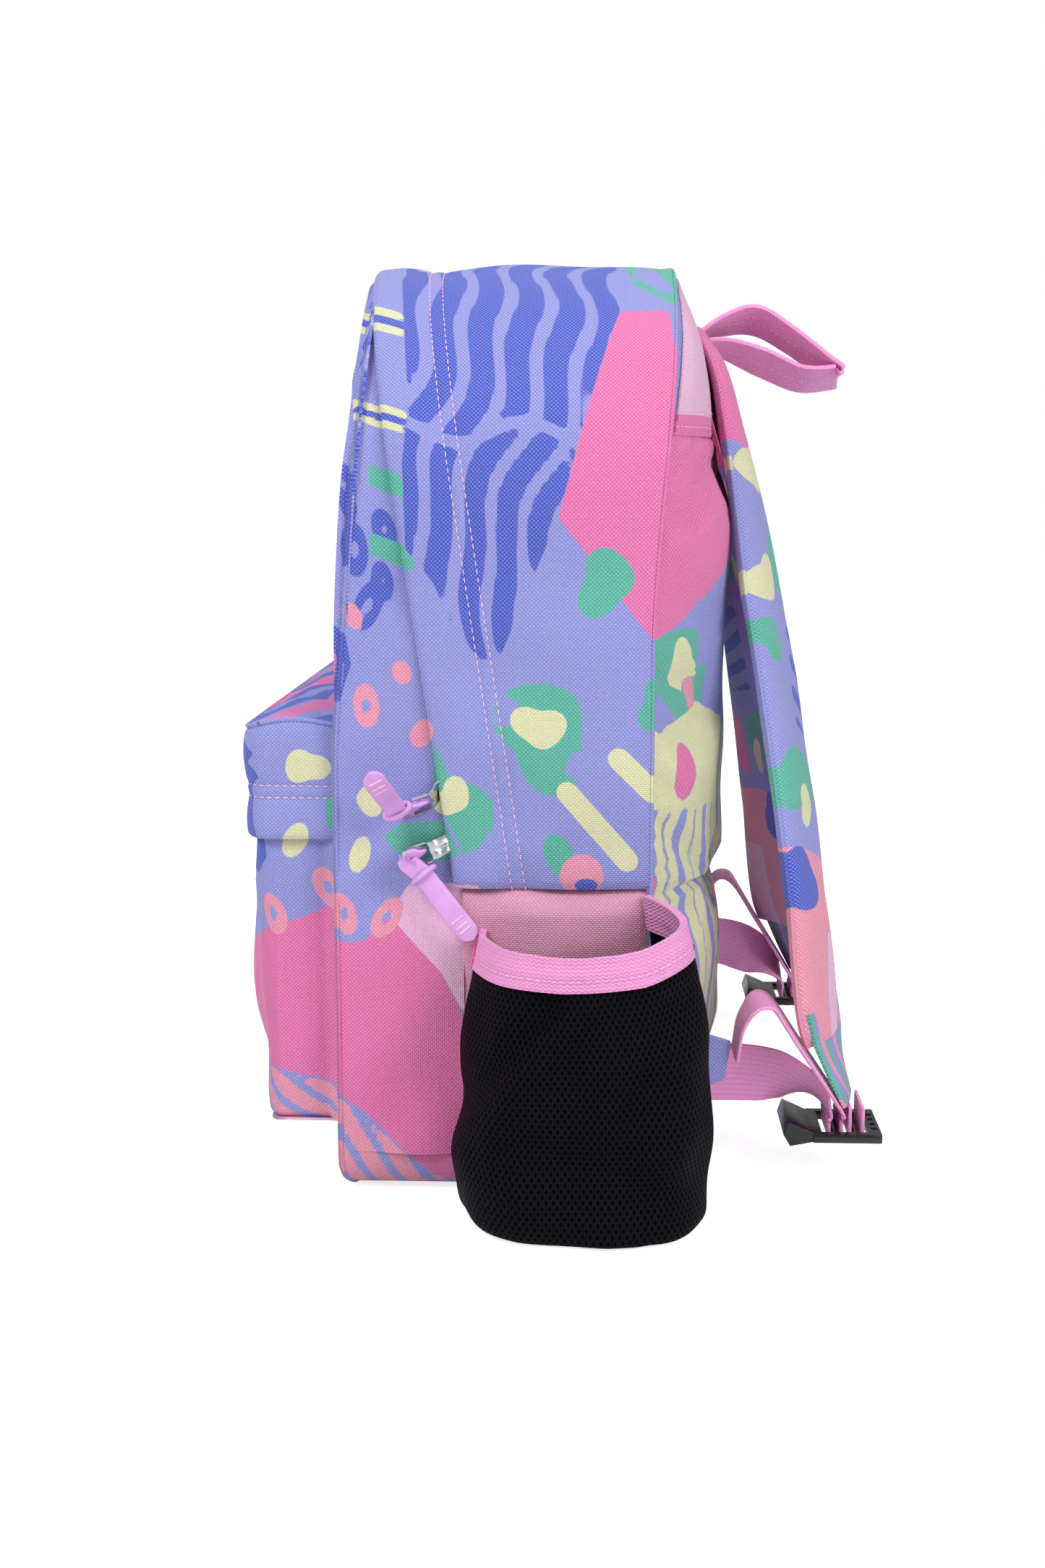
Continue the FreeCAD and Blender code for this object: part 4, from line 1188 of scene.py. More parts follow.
class BACKPACK_OT_panels(bpy.types.Operator):
    """Builds the front panel, the padded back panel, its yoke and the rolled seams"""
    bl_idname = "backpack.panels"
    bl_label = "Build the panels"

    def execute(self, context):
        self.front()
        self.back()
        self.seams()
        return {"FINISHED"}

    def front(self):
        z, x = panel_grid(2.5, HEIGHT - 0.4, 0.4, 110, 81)
        edge = edge_distance(x, z)
        y = front_y(z) - 0.2 - front_bulge(x, z)
        y = y + 4.8 * dent(edge, 10) * ease((z - 180) / 80) + 0.9 * ripple(x, z, 41, 70) * ease(edge / 20)
        grid = np.stack([x, y, z], -1)
        held = (edge < 4) | (z < 150)
        grid = puff(grid, held, 3.0, 0.02, 5.0)
        p = Print(x, z)
        p.lay("hot", p.block([(-160, 300), (-60, 330), (-20, 250), (-90, 200), (-160, 210)]))
        patch = p.block([(20, 420), (150, 420), (160, 300), (70, 270), (10, 330)])
        p.lay("blue", p.waves(17, 0.1, 5, 0.6, 4), patch)
        p.scatter(23, (-170, 170), (180, 420))
        piece = lined("front_panel_cloth", grid[:, ::-1], cloth_lines(x[:, ::-1], z[:, ::-1]),
                      reversed_inks(p.attributes()))
        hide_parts("front_panel_lower", "front_panel_upper")
        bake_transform(piece, "root", "mouth_flap", (0, front_y(FOLD) * MM, 0.215), (0, front_y(FOLD) * MM, 0.246))

    def back(self):
        z, x = panel_grid(2.5, HEIGHT - 0.4, 0.4, 150, 111)
        edge = edge_distance(x, z)
        y = back_y(z) + 0.2 + back_bulge(x, z)
        below = np.maximum(0, 319 - z)
        gather = 2.6 * np.abs(np.sin(x / 7 + 0.8 * np.sin(x / 17))) * np.exp(-below / 26) * (z < 319)
        y = y + gather * ease(edge / 14) - 2.2 * dent(z - BACK_SEAM, 3.2) * ease(edge / 10)
        y = y + 1.6 * ripple(x, z, 51, 60) * ease(edge / 25)
        grid = np.stack([x, y, z], -1)
        held = (edge < 3) | (np.abs(z - BACK_SEAM) < 2.5) | (z > 318)
        grid = puff(grid, held, 4.0, 0.03, 6.0)
        inks = self.back_inks(x, z)
        piece = lined("back_panel_cloth", grid, cloth_lines(x, np.array(z)), inks)
        rides(piece, "root", ("back_panel", "back_foam"))
        z, x = panel_grid(YOKE_LOW, HEIGHT - 4, 3.5, 46, 81)
        edge = edge_distance(x, z)
        y = back_y(z) + 1.8 + back_bulge(x, z) + 1.3 * hump((z - 320) / 60) * ease(edge / 12)
        y = (y - 0.6 * dent(z - YOKE_STITCH, 1.2) - 0.8 * dent(z - YOKE_LOW, 0.9)
             + 0.5 * ripple(x, z, 61, 30) * ease(edge / 12))
        grid = np.stack([x, y, z], -1)
        hem = Print(x, z)
        hem.lay("light", -9 + 0 * x)
        hem.lay("hot", z - 329)
        yoke = skin("yoke_cloth", grid, sizes().cloth / MM, [printed()], cloth_lines(x + z, np.array(z)),
                    hem.attributes())
        rides(yoke, "root", ("back_yoke",))
        away = facing(grid)
        rows = []
        for height in (YOKE_STITCH, 331.0):
            k = int(np.argmin(np.abs(z[:, 0] - height)))
            rows.append((grid[k, 2:-2] + 0.2 * away[k, 2:-2] * np.sign(away[k, 2:-2, 1:2]), (0, 1, 0)))
        rides(stitches("yoke_topstitch", rows), "root")

    def back_inks(self, x, z):
        p = Print(np.abs(x), z)
        p.lay("hot", p.block([(160, 330), (0, 330), (0, 300), (60, 290), (110, 255), (148, 236), (160, 236)]))
        p.leopard(128, 222, 22, 3)
        p.lay("coral", p.blot(118, 214, 6, 5))
        bars = p.block([(60, 190), (100, 206), (152, 200), (160, 20), (60, 20)])
        p.lay("yellow", p.waves(19, 0.0, 3, 0.72, 6), bars)
        p.lay("blue", p.waves(19, 0.0, 3, 0.12, 6), bars)
        p.draw((
            ("yellow", "block", [(88, 200), (112, 210), (150, 196), (150, 168), (92, 165)]),
            ("hot", "disc", 128, 182, 7, 12),
            ("hot", "block", [(143, 140), (170, 140), (170, -20), (120, -20), (138, 60)])))
        p.a = x + 0 * z
        p.scatter(78, (-66, 40), (-10, 270))
        return p.attributes()

    def seams(self):
        """Rolled seams where the panels meet the gusset, front and back."""
        s = np.linspace(-GIRTH, GIRTH, 561)
        x, z, nx, nz = outline(s)
        r = sizes().piping / MM
        round_off = ease((CROWN - np.abs(s) - 280) / 70)
        for name, at, body, inset in (("back_seam_piping", back_y(z) + 0.4, "root", 0.6),
                                      ("front_seam_piping", front_y(z) - 0.4 + 4.2 * ease((z - 180) / 80),
                                       None, 0.6 + 3.8 * round_off)):
            line = np.stack([x - nx * inset, at, z - nz * inset], -1)
            line[:, 2] = np.maximum(line[:, 2], r + 0.05)
            inks = gusset_inks(at[:, None], s[:, None])
            piece = pipe(name, line, r, printed(), one_column(inks))
            if body:
                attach(piece, body)
                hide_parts("back_seam_binding")
            else:
                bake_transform(piece, "root", "mouth_flap", (0, front_y(FOLD) * MM, 0.215),
                         (0, front_y(FOLD) * MM, 0.246))


# ---- front pocket --------------------------------------------------------------------------------
POCKET_SIDE = POCKET_REAR - (POCKET_FRONT + POCKET_R)
POCKET_TURN = POCKET_R * math.pi / 2
POCKET_RUN = POCKET_HALF - POCKET_R + POCKET_TURN + POCKET_SIDE
POCKET_HOOD = 29.0                              # height of the flap over the pocket's zipper
POCKET_ZIP = 167.0


def pocket_path(p):
    """x, y and the outward direction p mm round the pocket from the middle of its front; +p goes to +X."""
    side, a = np.where(p < 0, -1.0, 1.0), np.abs(p)
    straight = POCKET_HALF - POCKET_R
    turn = np.clip((a - straight) / POCKET_R, 0, math.pi / 2)
    back = np.clip(a - straight - POCKET_TURN, 0, None)
    x = np.minimum(a, straight) + POCKET_R * np.sin(turn)
    y = POCKET_FRONT + POCKET_R * (1 - np.cos(turn)) + back
    return x * side, y, np.sin(turn) * side, -np.cos(turn)


def pocket_crown(y):
    t = np.clip((y - POCKET_FRONT) / (POCKET_REAR - POCKET_FRONT), 0, 1)
    return 201.0 + 2 * t + 3 * np.sin(np.pi * t)


def pocket_inks(p, z):
    """The pocket's collage: p is the distance round it from the middle of the front."""
    y = POCKET_REAR - (POCKET_RUN - np.abs(p))
    q = Print(np.where(p > 0, y, -400 - y), z)
    q.lay("coral", q.waves(10, 0.9, 4, 0.62, 8), q.block([(-300, 50), (-103, 53), (-71, 46), (-60, 40),
            (-60, 20), (-300, 20)]))
    q.lay("hot", q.block([(-320, 100), (-230, 130), (-160, 96), (-104, 113), (-85, 118), (-60, 129),
                          (-60, 46), (-71, 47), (-103, 54), (-200, 60), (-320, 40)]))
    for a, b, turn in ((-94.4, 121, 0.4), (-70, 132.6, 0.5), (-128, 122, 0.5)):
        q.lay("coral", q.ring(a, b, 4, 6.5, 3.8, turn))
    q.draw((
        ("yellow", "blot", -78, 185, 8, 2), ("yellow", "disc", -83.4, 153.5, 5, 8.5, -0.5),
        ("green", "disc", -67, 166, 3.2, 7.5),
        ("blue", "block", [(-130, 199), (-108, 196), (-100, 190), (-104, 186), (-97, 181), (-103, 176),
            (-101, 160), (-97, 146), (-104, 138), (-132, 146)])))
    q.scatter(29, (-330, -168), (60, 200))
    return q.attributes()


class BACKPACK_OT_pocket(bpy.types.Operator):
    """Builds the front pocket: its lid with the zipper's hood, and its panel and bottom"""
    bl_idname = "backpack.pocket"
    bl_label = "Build the front pocket"

    def execute(self, context):
        p = np.concatenate([-np.linspace(POCKET_RUN, 100, 60), np.linspace(-98, 98, 70),
                            np.linspace(100, POCKET_RUN, 60)])
        x, y, nx, ny = (q[:, None] for q in pocket_path(p))
        self.band(p, x, y, nx, ny)
        self.top()
        self.panel(p, x, y, nx, ny)
        return {"FINISHED"}

    def band(self, p, x, y, nx, ny):
        crown = pocket_crown(y) - 0.8
        rows = np.array([0, .5, 1.2, 2.4, 5, 8, 11, 14, 15.8, 16.8, 17.6, 18.6, 20.4, 21.6, 22.6, 23.6, 24.6,
                         26, 29])
        upper = POCKET_HOOD + (crown - BAND_LOW - POCKET_HOOD) * np.linspace(0, 1, 16)[None, 1:]
        d = np.hstack([np.tile(rows, (len(p), 1)), upper])
        z = BAND_LOW + d
        lift = (-0.9 * dent(d, 0.7) + 1.0 * hump(d / 16) - 0.6 * dent(d - 17.6, 1.0)
                - 0.6 * dent(d - 22.6, 1.0))
        lift = lift + 1.0 * hump((d - 23) / (crown - BAND_LOW - 23)) - 1.2 * dent(z - crown, 1.6)
        side = ease((np.abs(p)[:, None] - 120) / 20)
        lift = (lift + 0.9 * ripple(p[:, None], z, 71, 38) * (0.4 + 0.6 * side)
                + 1.2 * dent(d, 8) * (0.5 + 0.5 * np.sin(p[:, None] / 8)))
        grid = np.stack([x + nx * lift, y + ny * lift, z], -1)
        piece = lined("pocket_band_cloth", grid, cloth_lines(p[:, None], z),
                      pocket_inks(np.broadcast_to(p[:, None], z.shape), z))
        rides(piece, "pocket_lid", ("pocket_band",))
        away = np.stack([nx[:, 0], ny[:, 0], 0 * p], -1)
        lines = [(grid[:, k] + 0.3 * away, away) for k in (10, 14)]
        rides(stitches("pocket_topstitch", lines), "pocket_lid")
        seam = np.stack([x[:, 0] - nx[:, 0] * 0.8, y[:, 0] - ny[:, 0] * 0.8, crown[:, 0] + 0.4], -1)
        inks = pocket_inks(p[:, None], seam[:, 2:3])
        fold = pipe("pocket_crease", seam, sizes().piping / MM * 0.8, printed(), one_column(inks))
        rides(fold, "pocket_lid")

    def top(self):
        y = np.linspace(POCKET_FRONT + 0.6, POCKET_REAR, 34)[:, None]
        reach = np.maximum(0, POCKET_FRONT + POCKET_R - y)
        half = POCKET_HALF - POCKET_R + np.sqrt(np.maximum(POCKET_R ** 2 - reach ** 2, 0)) - 0.6
        u = np.sin(np.linspace(-1, 1, 81) * 1.4) / math.sin(1.4)
        x = half * u[None]
        edge = np.minimum(half - np.abs(x), y - POCKET_FRONT)
        z = (pocket_crown(y) + 1.2 * ease(edge / 14) + 1.0 * ripple(x, np.broadcast_to(y, x.shape), 81,
                34) * ease(edge / 10))
        grid = np.stack([x, np.broadcast_to(y, x.shape), z], -1)
        q = Print(x, np.broadcast_to(y, x.shape))
        q.draw((
            ("blue", "waves", 19, 1.1, 4, 0.55, 13), ("hot", "waves", 38, 1.2, 6, 0.36, 15)))
        piece = lined("pocket_top_cloth", grid[:, ::-1], cloth_lines(x, np.array(grid[..., 1]))[:, ::-1],
                      reversed_inks(q.attributes()))
        rides(piece, "pocket_lid", ("pocket_top",))

    def panel(self, p, x, y, nx, ny):
        low = POCKET_LOW + 0.6
        d = np.concatenate([[0, .6, 1.6, 3, 5], np.linspace(8, 162.5 - low, 46)])[None]
        z = low + d + 0 * x
        side = ease((np.abs(p)[:, None] - 120) / 20)
        lift = -3.6 - 3.2 * ease((150 - z) / 110) - 2.2 * dent(d, 1.6)
        lift = (lift + (1 - side) * 4.0 * hump((z - 29) / 122,
                0.7) * ease((POCKET_RUN - np.abs(p)[:, None]) / 40))
        lift = lift + 1.1 * ripple(p[:, None], z, 91, 48) * ease((158 - z) / 20) * ease((z - 30) / 12)
        lift = lift * ease(0.25 + (POCKET_RUN - np.abs(p)[:, None]) / 8)
        grid = np.stack([x + nx * lift, y + ny * lift, z], -1)
        front = np.abs(x) < POCKET_HALF - 20
        held = ~(front & (z > 36) & (z < 140))
        grid = puff(grid, held, 3.0, 0.02, 4.0)
        inks = pocket_inks(np.broadcast_to(p[:, None], z.shape), z)
        piece = lined("pocket_panel_cloth", grid, cloth_lines(p[:, None], z), inks)
        rides(piece, "root", ("pocket_panel",))
        inward = np.stack([x[:, 0] + nx[:, 0] * -7.4, y[:, 0] + ny[:, 0] * -7.4], -1)
        shares = np.linspace(0, 1, 9)
        centre = np.stack([inward[:, 0], np.full(len(p), POCKET_REAR)], -1)
        flat = inward[:, None] + (centre - inward)[:, None] * shares[None, :, None]
        floor = np.concatenate([flat, np.full(flat.shape[:2] + (1,), POCKET_LOW + 0.3)], -1)
        inks = pocket_inks(np.broadcast_to(p[:, None], flat.shape[:2]),
                           30 - 20 * np.broadcast_to(shares, flat.shape[:2]))
        bottom = skin("pocket_bottom_cloth", floor[:, ::-1], -sizes().cloth / MM, [printed(), lining()],
                      cloth_lines(p[:, None], np.tile(shares[::-1] * 30, (len(p), 1))), reversed_inks(inks),
                      inside=1)
        rides(bottom, "root", ("pocket_bottom",))


# ---- side pockets --------------------------------------------------------------------------------
POUCH_MIDDLE, ELASTIC = 34.0, 14.0              # middle of the pouch's depth, and height of its elastic


def pouch_ring(m, z, low, shrink=1.0):
    """The pouch's wall at one height: low is 1 for its boxy floor line and 0 for its rounder rim line."""
    floor = ((0, -13), (22, -13), (48, 2), (55, 40), (51, 76), (30, 91), (11, 86), (0, 70))
    top = ((0, -5), (15, -4), (38, 10), (50, 38), (45, 61), (28, 79), (11, 75), (0, 65))
    turns = np.array(floor) * low + np.array(top) * (1 - low)
    out, y = spline(turns, len(m)).T
    return np.stack([WALL + out * shrink, POUCH_MIDDLE + (y - POUCH_MIDDLE) * (0.1 + 0.9 * shrink),
                     np.full(len(m), float(z))], -1)


def rim_drop(m):
    """The elastic sags a little in the middle and climbs to the back seam."""
    return np.interp(m, [0, 0.2, 0.42, 0.62, 0.8, 1.0], [-1.5, -1.5, -1.5, 1.0, 8.0, 13.0])


class BACKPACK_OT_side_pockets(bpy.types.Operator):
    """Builds the mesh side pockets and their elastic rims"""
    bl_idname = "backpack.side_pockets"
    bl_label = "Build the side pockets"

    def execute(self, context):
        m = np.linspace(0, 1, 90)
        neck = RIM - ELASTIC
        levels = [(k, 0.9) for k in (0.1, 0.35, 0.6, 0.8)]
        levels += [(0.92 + 0.08 * math.sin(a), 0.9 + 8 * (1 - math.cos(a)))
                   for a in np.linspace(0, math.pi / 2, 8)]
        levels += [(1.0, z) for z in np.linspace(12, neck + 3, 44)]
        grid = np.array([pouch_ring(m, z, np.interp(z, [12, 45, 76, 92, neck], [1, 1, 0.85, 0.6, 0.3]),
                                    shrink) for shrink, z in levels])
        low, high = grid[..., 2], ease((grid[..., 2] - 30) / (neck - 30))
        grid[..., 2] += high * rim_drop(m)[None]
        u = travelled(grid[30])
        v = travelled(grid[:, 45])
        away = facing(grid)
        away *= np.sign(np.sum(away[30, 45] * [1, 0, 0]))
        y, z = grid[..., 1], grid[..., 2]
        inner = hump(m, 0.5)[None] * ease((v[:, None] - 20) / 20)
        line = (y - 30) * 0.80 - (z - 98) * 0.60
        fold = -4.2 * np.exp(-((line + 6) / 5.5) ** 2) + 3.2 * np.exp(-((line - 6) / 7) ** 2)
        second = (y - 62) * 0.95 - (z - 60) * 0.3
        fold = (fold - 2.0 * np.exp(-(second / 6) ** 2) * ease((z - 15) / 30)
                + 1.6 * ripple(u[None], v[:, None] + 0 * y, 101, 34))
        drape = 3.0 * np.sin(z / 13 + y / 25) * ease((50 - z) / 30)
        grid = grid + away * ((fold + drape) * inner * ease((neck + 4 - low) / 14) - 0.4)[..., None]
        grid[..., 0] = np.maximum(grid[..., 0], WALL + 0.4)
        grid[..., 2] = np.maximum(grid[..., 2], 0.7)
        cloth = cloth_lines(u[None], np.broadcast_to(v[:, None], y.shape))
        self.rim(m, neck)
        for side, points in (("right", grid), ("left", mirrored(grid))):
            facing_out = points if side == "right" else points[::-1]
            lines = cloth if side == "right" else cloth[::-1]
            piece = skin("mesh_pouch_" + side, facing_out[:, ::-1], 1.4, [knitted_mesh()], lines[:, ::-1])
            rides(piece, "root", ("mesh_pocket_" + side,))
        return {"FINISHED"}

    def rim(self, m, neck):
        rows, notes = [], []
        for k in np.concatenate([[0, 0.05], np.linspace(0.12, 0.88, 12), [0.95, 1.0]]):
            z = neck + ELASTIC * k
            ring = pouch_ring(m, z, 0.3 - 0.3 * k)
            ring[:, 2] += rim_drop(m)
            fat = 1.5 + 0.7 * math.sin(math.pi * min(1, max(0, k))) ** 0.5 + 0.25 * math.cos(12.6 * k)
            ring[:, 0] += fat * hump(m, 0.3) + 0.6 * np.sin(m * 70) * ease((k - 0.1) / 0.5) * 0.5
            rows.append(ring)
            notes.append(ELASTIC * k)
        grid = np.array(rows)
        u = travelled(grid[5])
        cloth = cloth_lines(u[None], np.broadcast_to(np.array(notes)[:, None], grid.shape[:2]))
        away = facing(grid)
        away *= np.sign(away[8, 45, 0])
        line = grid[5] + 0.3 * away[5]
        tack = [(grid[2:-2, k] + 0.5 * away[2:-2, k], away[2:-2, k]) for k in range(1, 8)]
        for side in ("right", "left"):
            points, lines = on_side(side, grid), cloth
            if side == "right":
                points, lines = points[::-1], lines[::-1]
            piece = skin("elastic_band_" + side, points, 3.0, [elastic_tape()], lines)
            rides(piece, "root", ("elastic_rim_" + side,))
            rows = [(on_side(side, line[2:-2]), on_side(side, away[5][2:-2]))]
            rides(stitches("elastic_stitch_" + side, rows), "root")
            bead = beads("bartack_" + side, [(on_side(side, at), on_side(side, out)) for at, out in tack],
                         sewing_thread("thread hot", "hot"), 0.7, 0.5, 1.9, 0.9)
            rides(bead, "root")


# ---- straps, webbing and handle ------------------------------------------------------------------
STRAP_PATH = ((45, 90.6, 362, 58, 4), (50, 97, 346, 62, 9), (58, 107, 306, 62, 12), (70, 117.5, 254, 62, 12),
              (84, 128, 190, 62, 12), (97, 137.5, 122, 60, 12), (104, 143, 76, 48, 10),
              (105, 146.5, 60, 38, 6))
TAIL_PATH = ((104.2, 143.4, 74, 44, 5), (106, 148.5, 50, 32, 4), (107, 155.2, 31, 27, 3.6))
LOCK = (107.0, 18.0)
BAR_1, BAR_2, BAR_R = 149.0, 158.2, 1.8
WEBBING = 25.0
BAR_GAP = BAR_R + 0.3 + 0.7                     # from a bar's axis to the middle of webbing round it


def strap_frame(path, count):
    """Stations down a strap: points, width and thickness directions, widths and thicknesses."""
    line = spline(path, count)
    along = unit(np.gradient(line[:, :3], axis=0))
    across = unit(np.array([[1.0, 0, 0]]) - along * along[:, :1])
    out = np.cross(across, along)
    out *= np.sign(out[:, 1:2])
    tilt = np.radians(np.interp(line[:, 2], [25, 60, 120, 250, 340], [8, 24, 15, 14, 0]))[:, None]
    across, out = across * np.cos(tilt) - out * np.sin(tilt), out * np.cos(tilt) + across * np.sin(tilt)
    return line[:, :3], across, out, line[:, 3], line[:, 4]


def strap_section(half, thick, seam=1.1):
    """A pillow with a flat sewn seam at each edge: offsets across and through, round the section."""
    a = np.concatenate([[-1.0, -0.965], -np.cos(np.linspace(0.12, np.pi - 0.12, 19)) * 0.95, [0.965, 1.0]])
    full = seam + (thick / 2 - seam) * (1 - np.abs(a / 0.96).clip(0, 1) ** 3.2) ** 0.55
    full[[0, -1]] = seam * 0.75
    return np.concatenate([a * half, a[::-1] * half]), np.concatenate([full, -full[::-1]]), np.concatenate([a,
            a[::-1]])


class BACKPACK_OT_straps(bpy.types.Operator):
    """Builds the padded shoulder straps, their tails and the loops that hold the ladder locks"""
    bl_idname = "backpack.straps"
    bl_label = "Build the shoulder straps"

    def execute(self, context):
        for side, sign in (("right", 1), ("left", -1)):
            self.pad(side, sign)
            self.tail(side)
        return {"FINISHED"}

    def inks(self, a, far):
        p = Print(a, far)
        p.draw((
            ("hot", "block", [(-40, -10), (40, -10), (40, 46), (10, 58), (-40, 74)]),
            ("yellow", "blot", 14, 62, 12, 2), ("green", "blot", -10, 104, 17, 8),
            ("yellow", "blot", 18, 112, 11, 3), ("green", "blot", 22, 138, 9, 6)))
        p.lay("blue", p.waves(13, 1.2, 4, 0.5, 5), p.block([(-40, 128), (0, 132), (8, 176), (-40, 190)]))
        p.draw((
            ("green", "blot", 14, 200, 16, 12), ("yellow", "blot", 10, 212, 8, 5),
            ("hot", "blot", -20, 214, 13, 5),
            ("coral", "block", [(-40, 246), (-6, 236), (40, 226), (40, 330), (-40, 330)]),
            ("blue", "blot", 22, 244, 12, 7),
            ("light", "block", [(-40, 276), (0, 268), (6, 330), (-40, 330)])))
        return p.attributes()

    def pad(self, side, sign):
        line, across, out, width, thick = strap_frame(STRAP_PATH, 130)
        far = travelled(line)
        rings = []
        for k in range(len(line)):
            a, b, part = strap_section(width[k] / 2, thick[k])
            puffed = 0.35 * np.sin(far[k] / 10 + part * 3) * (1 - np.abs(part) ** 4)
            curl = -3.6 * part ** 2
            rings.append(line[k] + across[k] * a[:, None] + out[k] * (b + puffed * np.sign(b) + curl)[:,
                    None])
        grid = np.array(rings)
        a_all = np.stack([strap_section(w / 2, t)[0] for w, t in zip(width, thick)])
        cloth = cloth_lines(far[:, None], a_all)
        inks = self.inks(a_all * sign, far[:, None] + 0 * a_all)
        piece = bar("strap_pad_" + side, on_side(side, grid), [printed()], cloth, inks, sharp=55)
        rides(piece, "strap_" + side, ("strap_cover_" + side, "strap_foam_" + side))
        for edge in (-1, 1):
            seam = line + across * (edge * (width / 2 + 0.2))[:, None] + out * -3.5
            colours = self.inks(np.full((len(line), 1), 29.0 * edge * sign), far[:, None])
            cord = pipe("strap_seam_%s_%s" % (side, "inner" if edge < 0 else "outer"), on_side(side, seam),
                        1.15, printed(), one_column(colours))
            rides(cord, "strap_" + side)

    def tail(self, side):
        line, across, out, width, thick = strap_frame(TAIL_PATH, 30)
        far = travelled(line)
        a = np.linspace(-1, 1, 15)
        ring_a = np.concatenate([a, a[::-1]])
        ring_b = np.concatenate([np.sqrt(1 - 0.9 * a ** 4), -np.sqrt(1 - 0.9 * a[::-1] ** 4)])
        wide = width[:, None] / 2 * ring_a
        grid = (line[:, None] + across[:, None] * wide[..., None]
                + out[:, None] * (thick[:, None] / 2 * ring_b)[..., None])
        p = Print(wide, far[:, None] + 0 * wide)
        p.draw((
            ("green", "waves", 9, 0.1, 2.5, 0.45, 5), ("coral", "waves", 13, 0.2, 3, 0.3, 9)))
        piece = bar("strap_tail_cloth_" + side, on_side(side, grid), [printed()],
                    cloth_lines(far[:, None], wide), p.attributes())
        rides(piece, "strap_" + side, ("strap_tail_" + side,))
        loop = ring_path(BAR_2, node_box("strap_end_loop_" + side)[1][2])
        piece = ribbon("strap_loop_" + side, on_side(side, loop), [(1, 0, 0)] * len(loop), WEBBING,
                       sizes().webbing / MM - 0.2, webbing_tape(), 40)
        rides(piece, "strap_" + side, ("strap_end_loop_" + side,))


def ring_path(y, top):
    """A webbing loop under a bar of the lock: down one side, round, and up the other."""
    angle = np.linspace(0, math.pi, 11)
    under = [(LOCK[0], y - BAR_GAP * math.cos(a), LOCK[1] - BAR_GAP * math.sin(a)) for a in angle]
    heights = np.linspace(top, LOCK[1] + 1, 4)
    return ([(LOCK[0], y - BAR_GAP, z) for z in heights] + under
            + [(LOCK[0], y + BAR_GAP, z) for z in heights[::-1]])


class BACKPACK_OT_webbing(bpy.types.Operator):
    """Builds the lower webbing, the fabric wings it is sewn into, and dresses the ladder locks"""
    bl_idname = "backpack.webbing"
    bl_label = "Build the webbing and locks"

    def execute(self, context):
        thick = sizes().webbing / MM
        for side, sign in (("right", 1), ("left", -1)):
            arch = [(130, 103.5, 58), (129.5, 106, 72), (128, 112, 80), (125, 120, 78), (119, 132, 60),
                    (111, 146, 38), (LOCK[0], BAR_1 + BAR_GAP, 28), (LOCK[0], BAR_1 + BAR_GAP, 24)]
            anchor = ribbon("anchor_webbing_" + side, on_side(side, arch), [(1, 0, 0)] * len(arch), WEBBING,
                            thick, webbing_tape(), 80)
            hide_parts("webbing_anchor_" + side)
            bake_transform(anchor, "root", "strap_" + side, (sign * 0.129, 0.106, 0.070),
                     (sign * 0.110, 0.148, 0.034))
            turn = ring_path(BAR_1, node_box("webbing_turn_" + side)[1][2])
            piece = ribbon("turned_webbing_" + side, on_side(side, turn), [(1, 0, 0)] * len(turn), WEBBING,
                           thick - 0.2, webbing_tape(), 40)
            rides(piece, "ladder_lock_" + side, ("webbing_turn_" + side,))
            tail = [(LOCK[0], BAR_1 - BAR_GAP, 23.6), (LOCK[0], BAR_1 - BAR_GAP, 27), (109, 141, 33),
                    (113, 132, 39), (116, 120, 44), (118, 106, 46), (121, 94, 47)]
            across = [(1, 0, 0), (1, 0, 0), (1, 0, 0.35), (0.8, 0, 1), (0.2, 0, 1), (0, 0, 1), (0, 0, 1)]
            piece = ribbon("loose_webbing_" + side, on_side(side, tail), on_side(side, across), WEBBING,
                           thick, webbing_tape(), 70)
            rides(piece, "ladder_lock_" + side, ("webbing_tail_" + side,))
            self.wing(side, sign)
            plastic = smooth_finish("moulded black plastic", "plastic", 0.3, coat=0.4, grain=0.01)
            dress("ladder_lock_" + side, plastic, 1.1)
        return {"FINISHED"}

    def wing(self, side, sign):
        root, out = np.array([145.4 * sign, 71.2, 0]), np.array([-10.4 * sign, 30.0, 0])
        reach = float(np.linalg.norm(out))
        corners = [(0, 78), (reach * 0.97, 66), (reach * 0.9, 49), (0, 44)]
        along = unit(out)
        place = axes(root + np.cross(along, (0, 0, 1)) * 1.5 * sign, along, (0, 0, 1),
                     np.cross(along, (0, 0, 1)))
        piece = plate("wing_" + side, [corners], 3.0, 0.8, plain("plain lilac cloth", "lilac"), place)
        rides(piece, "root", ("wing_tab_" + side,))


def dress(node, material, round_off=0.0):
    """Gives a CAD node its finish, and rounds its edges."""
    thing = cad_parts[node]
    thing.data.materials.clear()
    thing.data.materials.append(material)
    if round_off:
        weld = thing.modifiers.new("weld", "WELD")
        weld.merge_threshold = 0.00002
        bevel = thing.modifiers.new("rounded edges", "BEVEL")
        bevel.width, bevel.segments, bevel.limit_method = round_off * MM, 3, "ANGLE"
        bevel.angle_limit = math.radians(35)
        thing.data.shade_smooth()
        thing.data.set_sharp_from_angle(angle=math.radians(40))


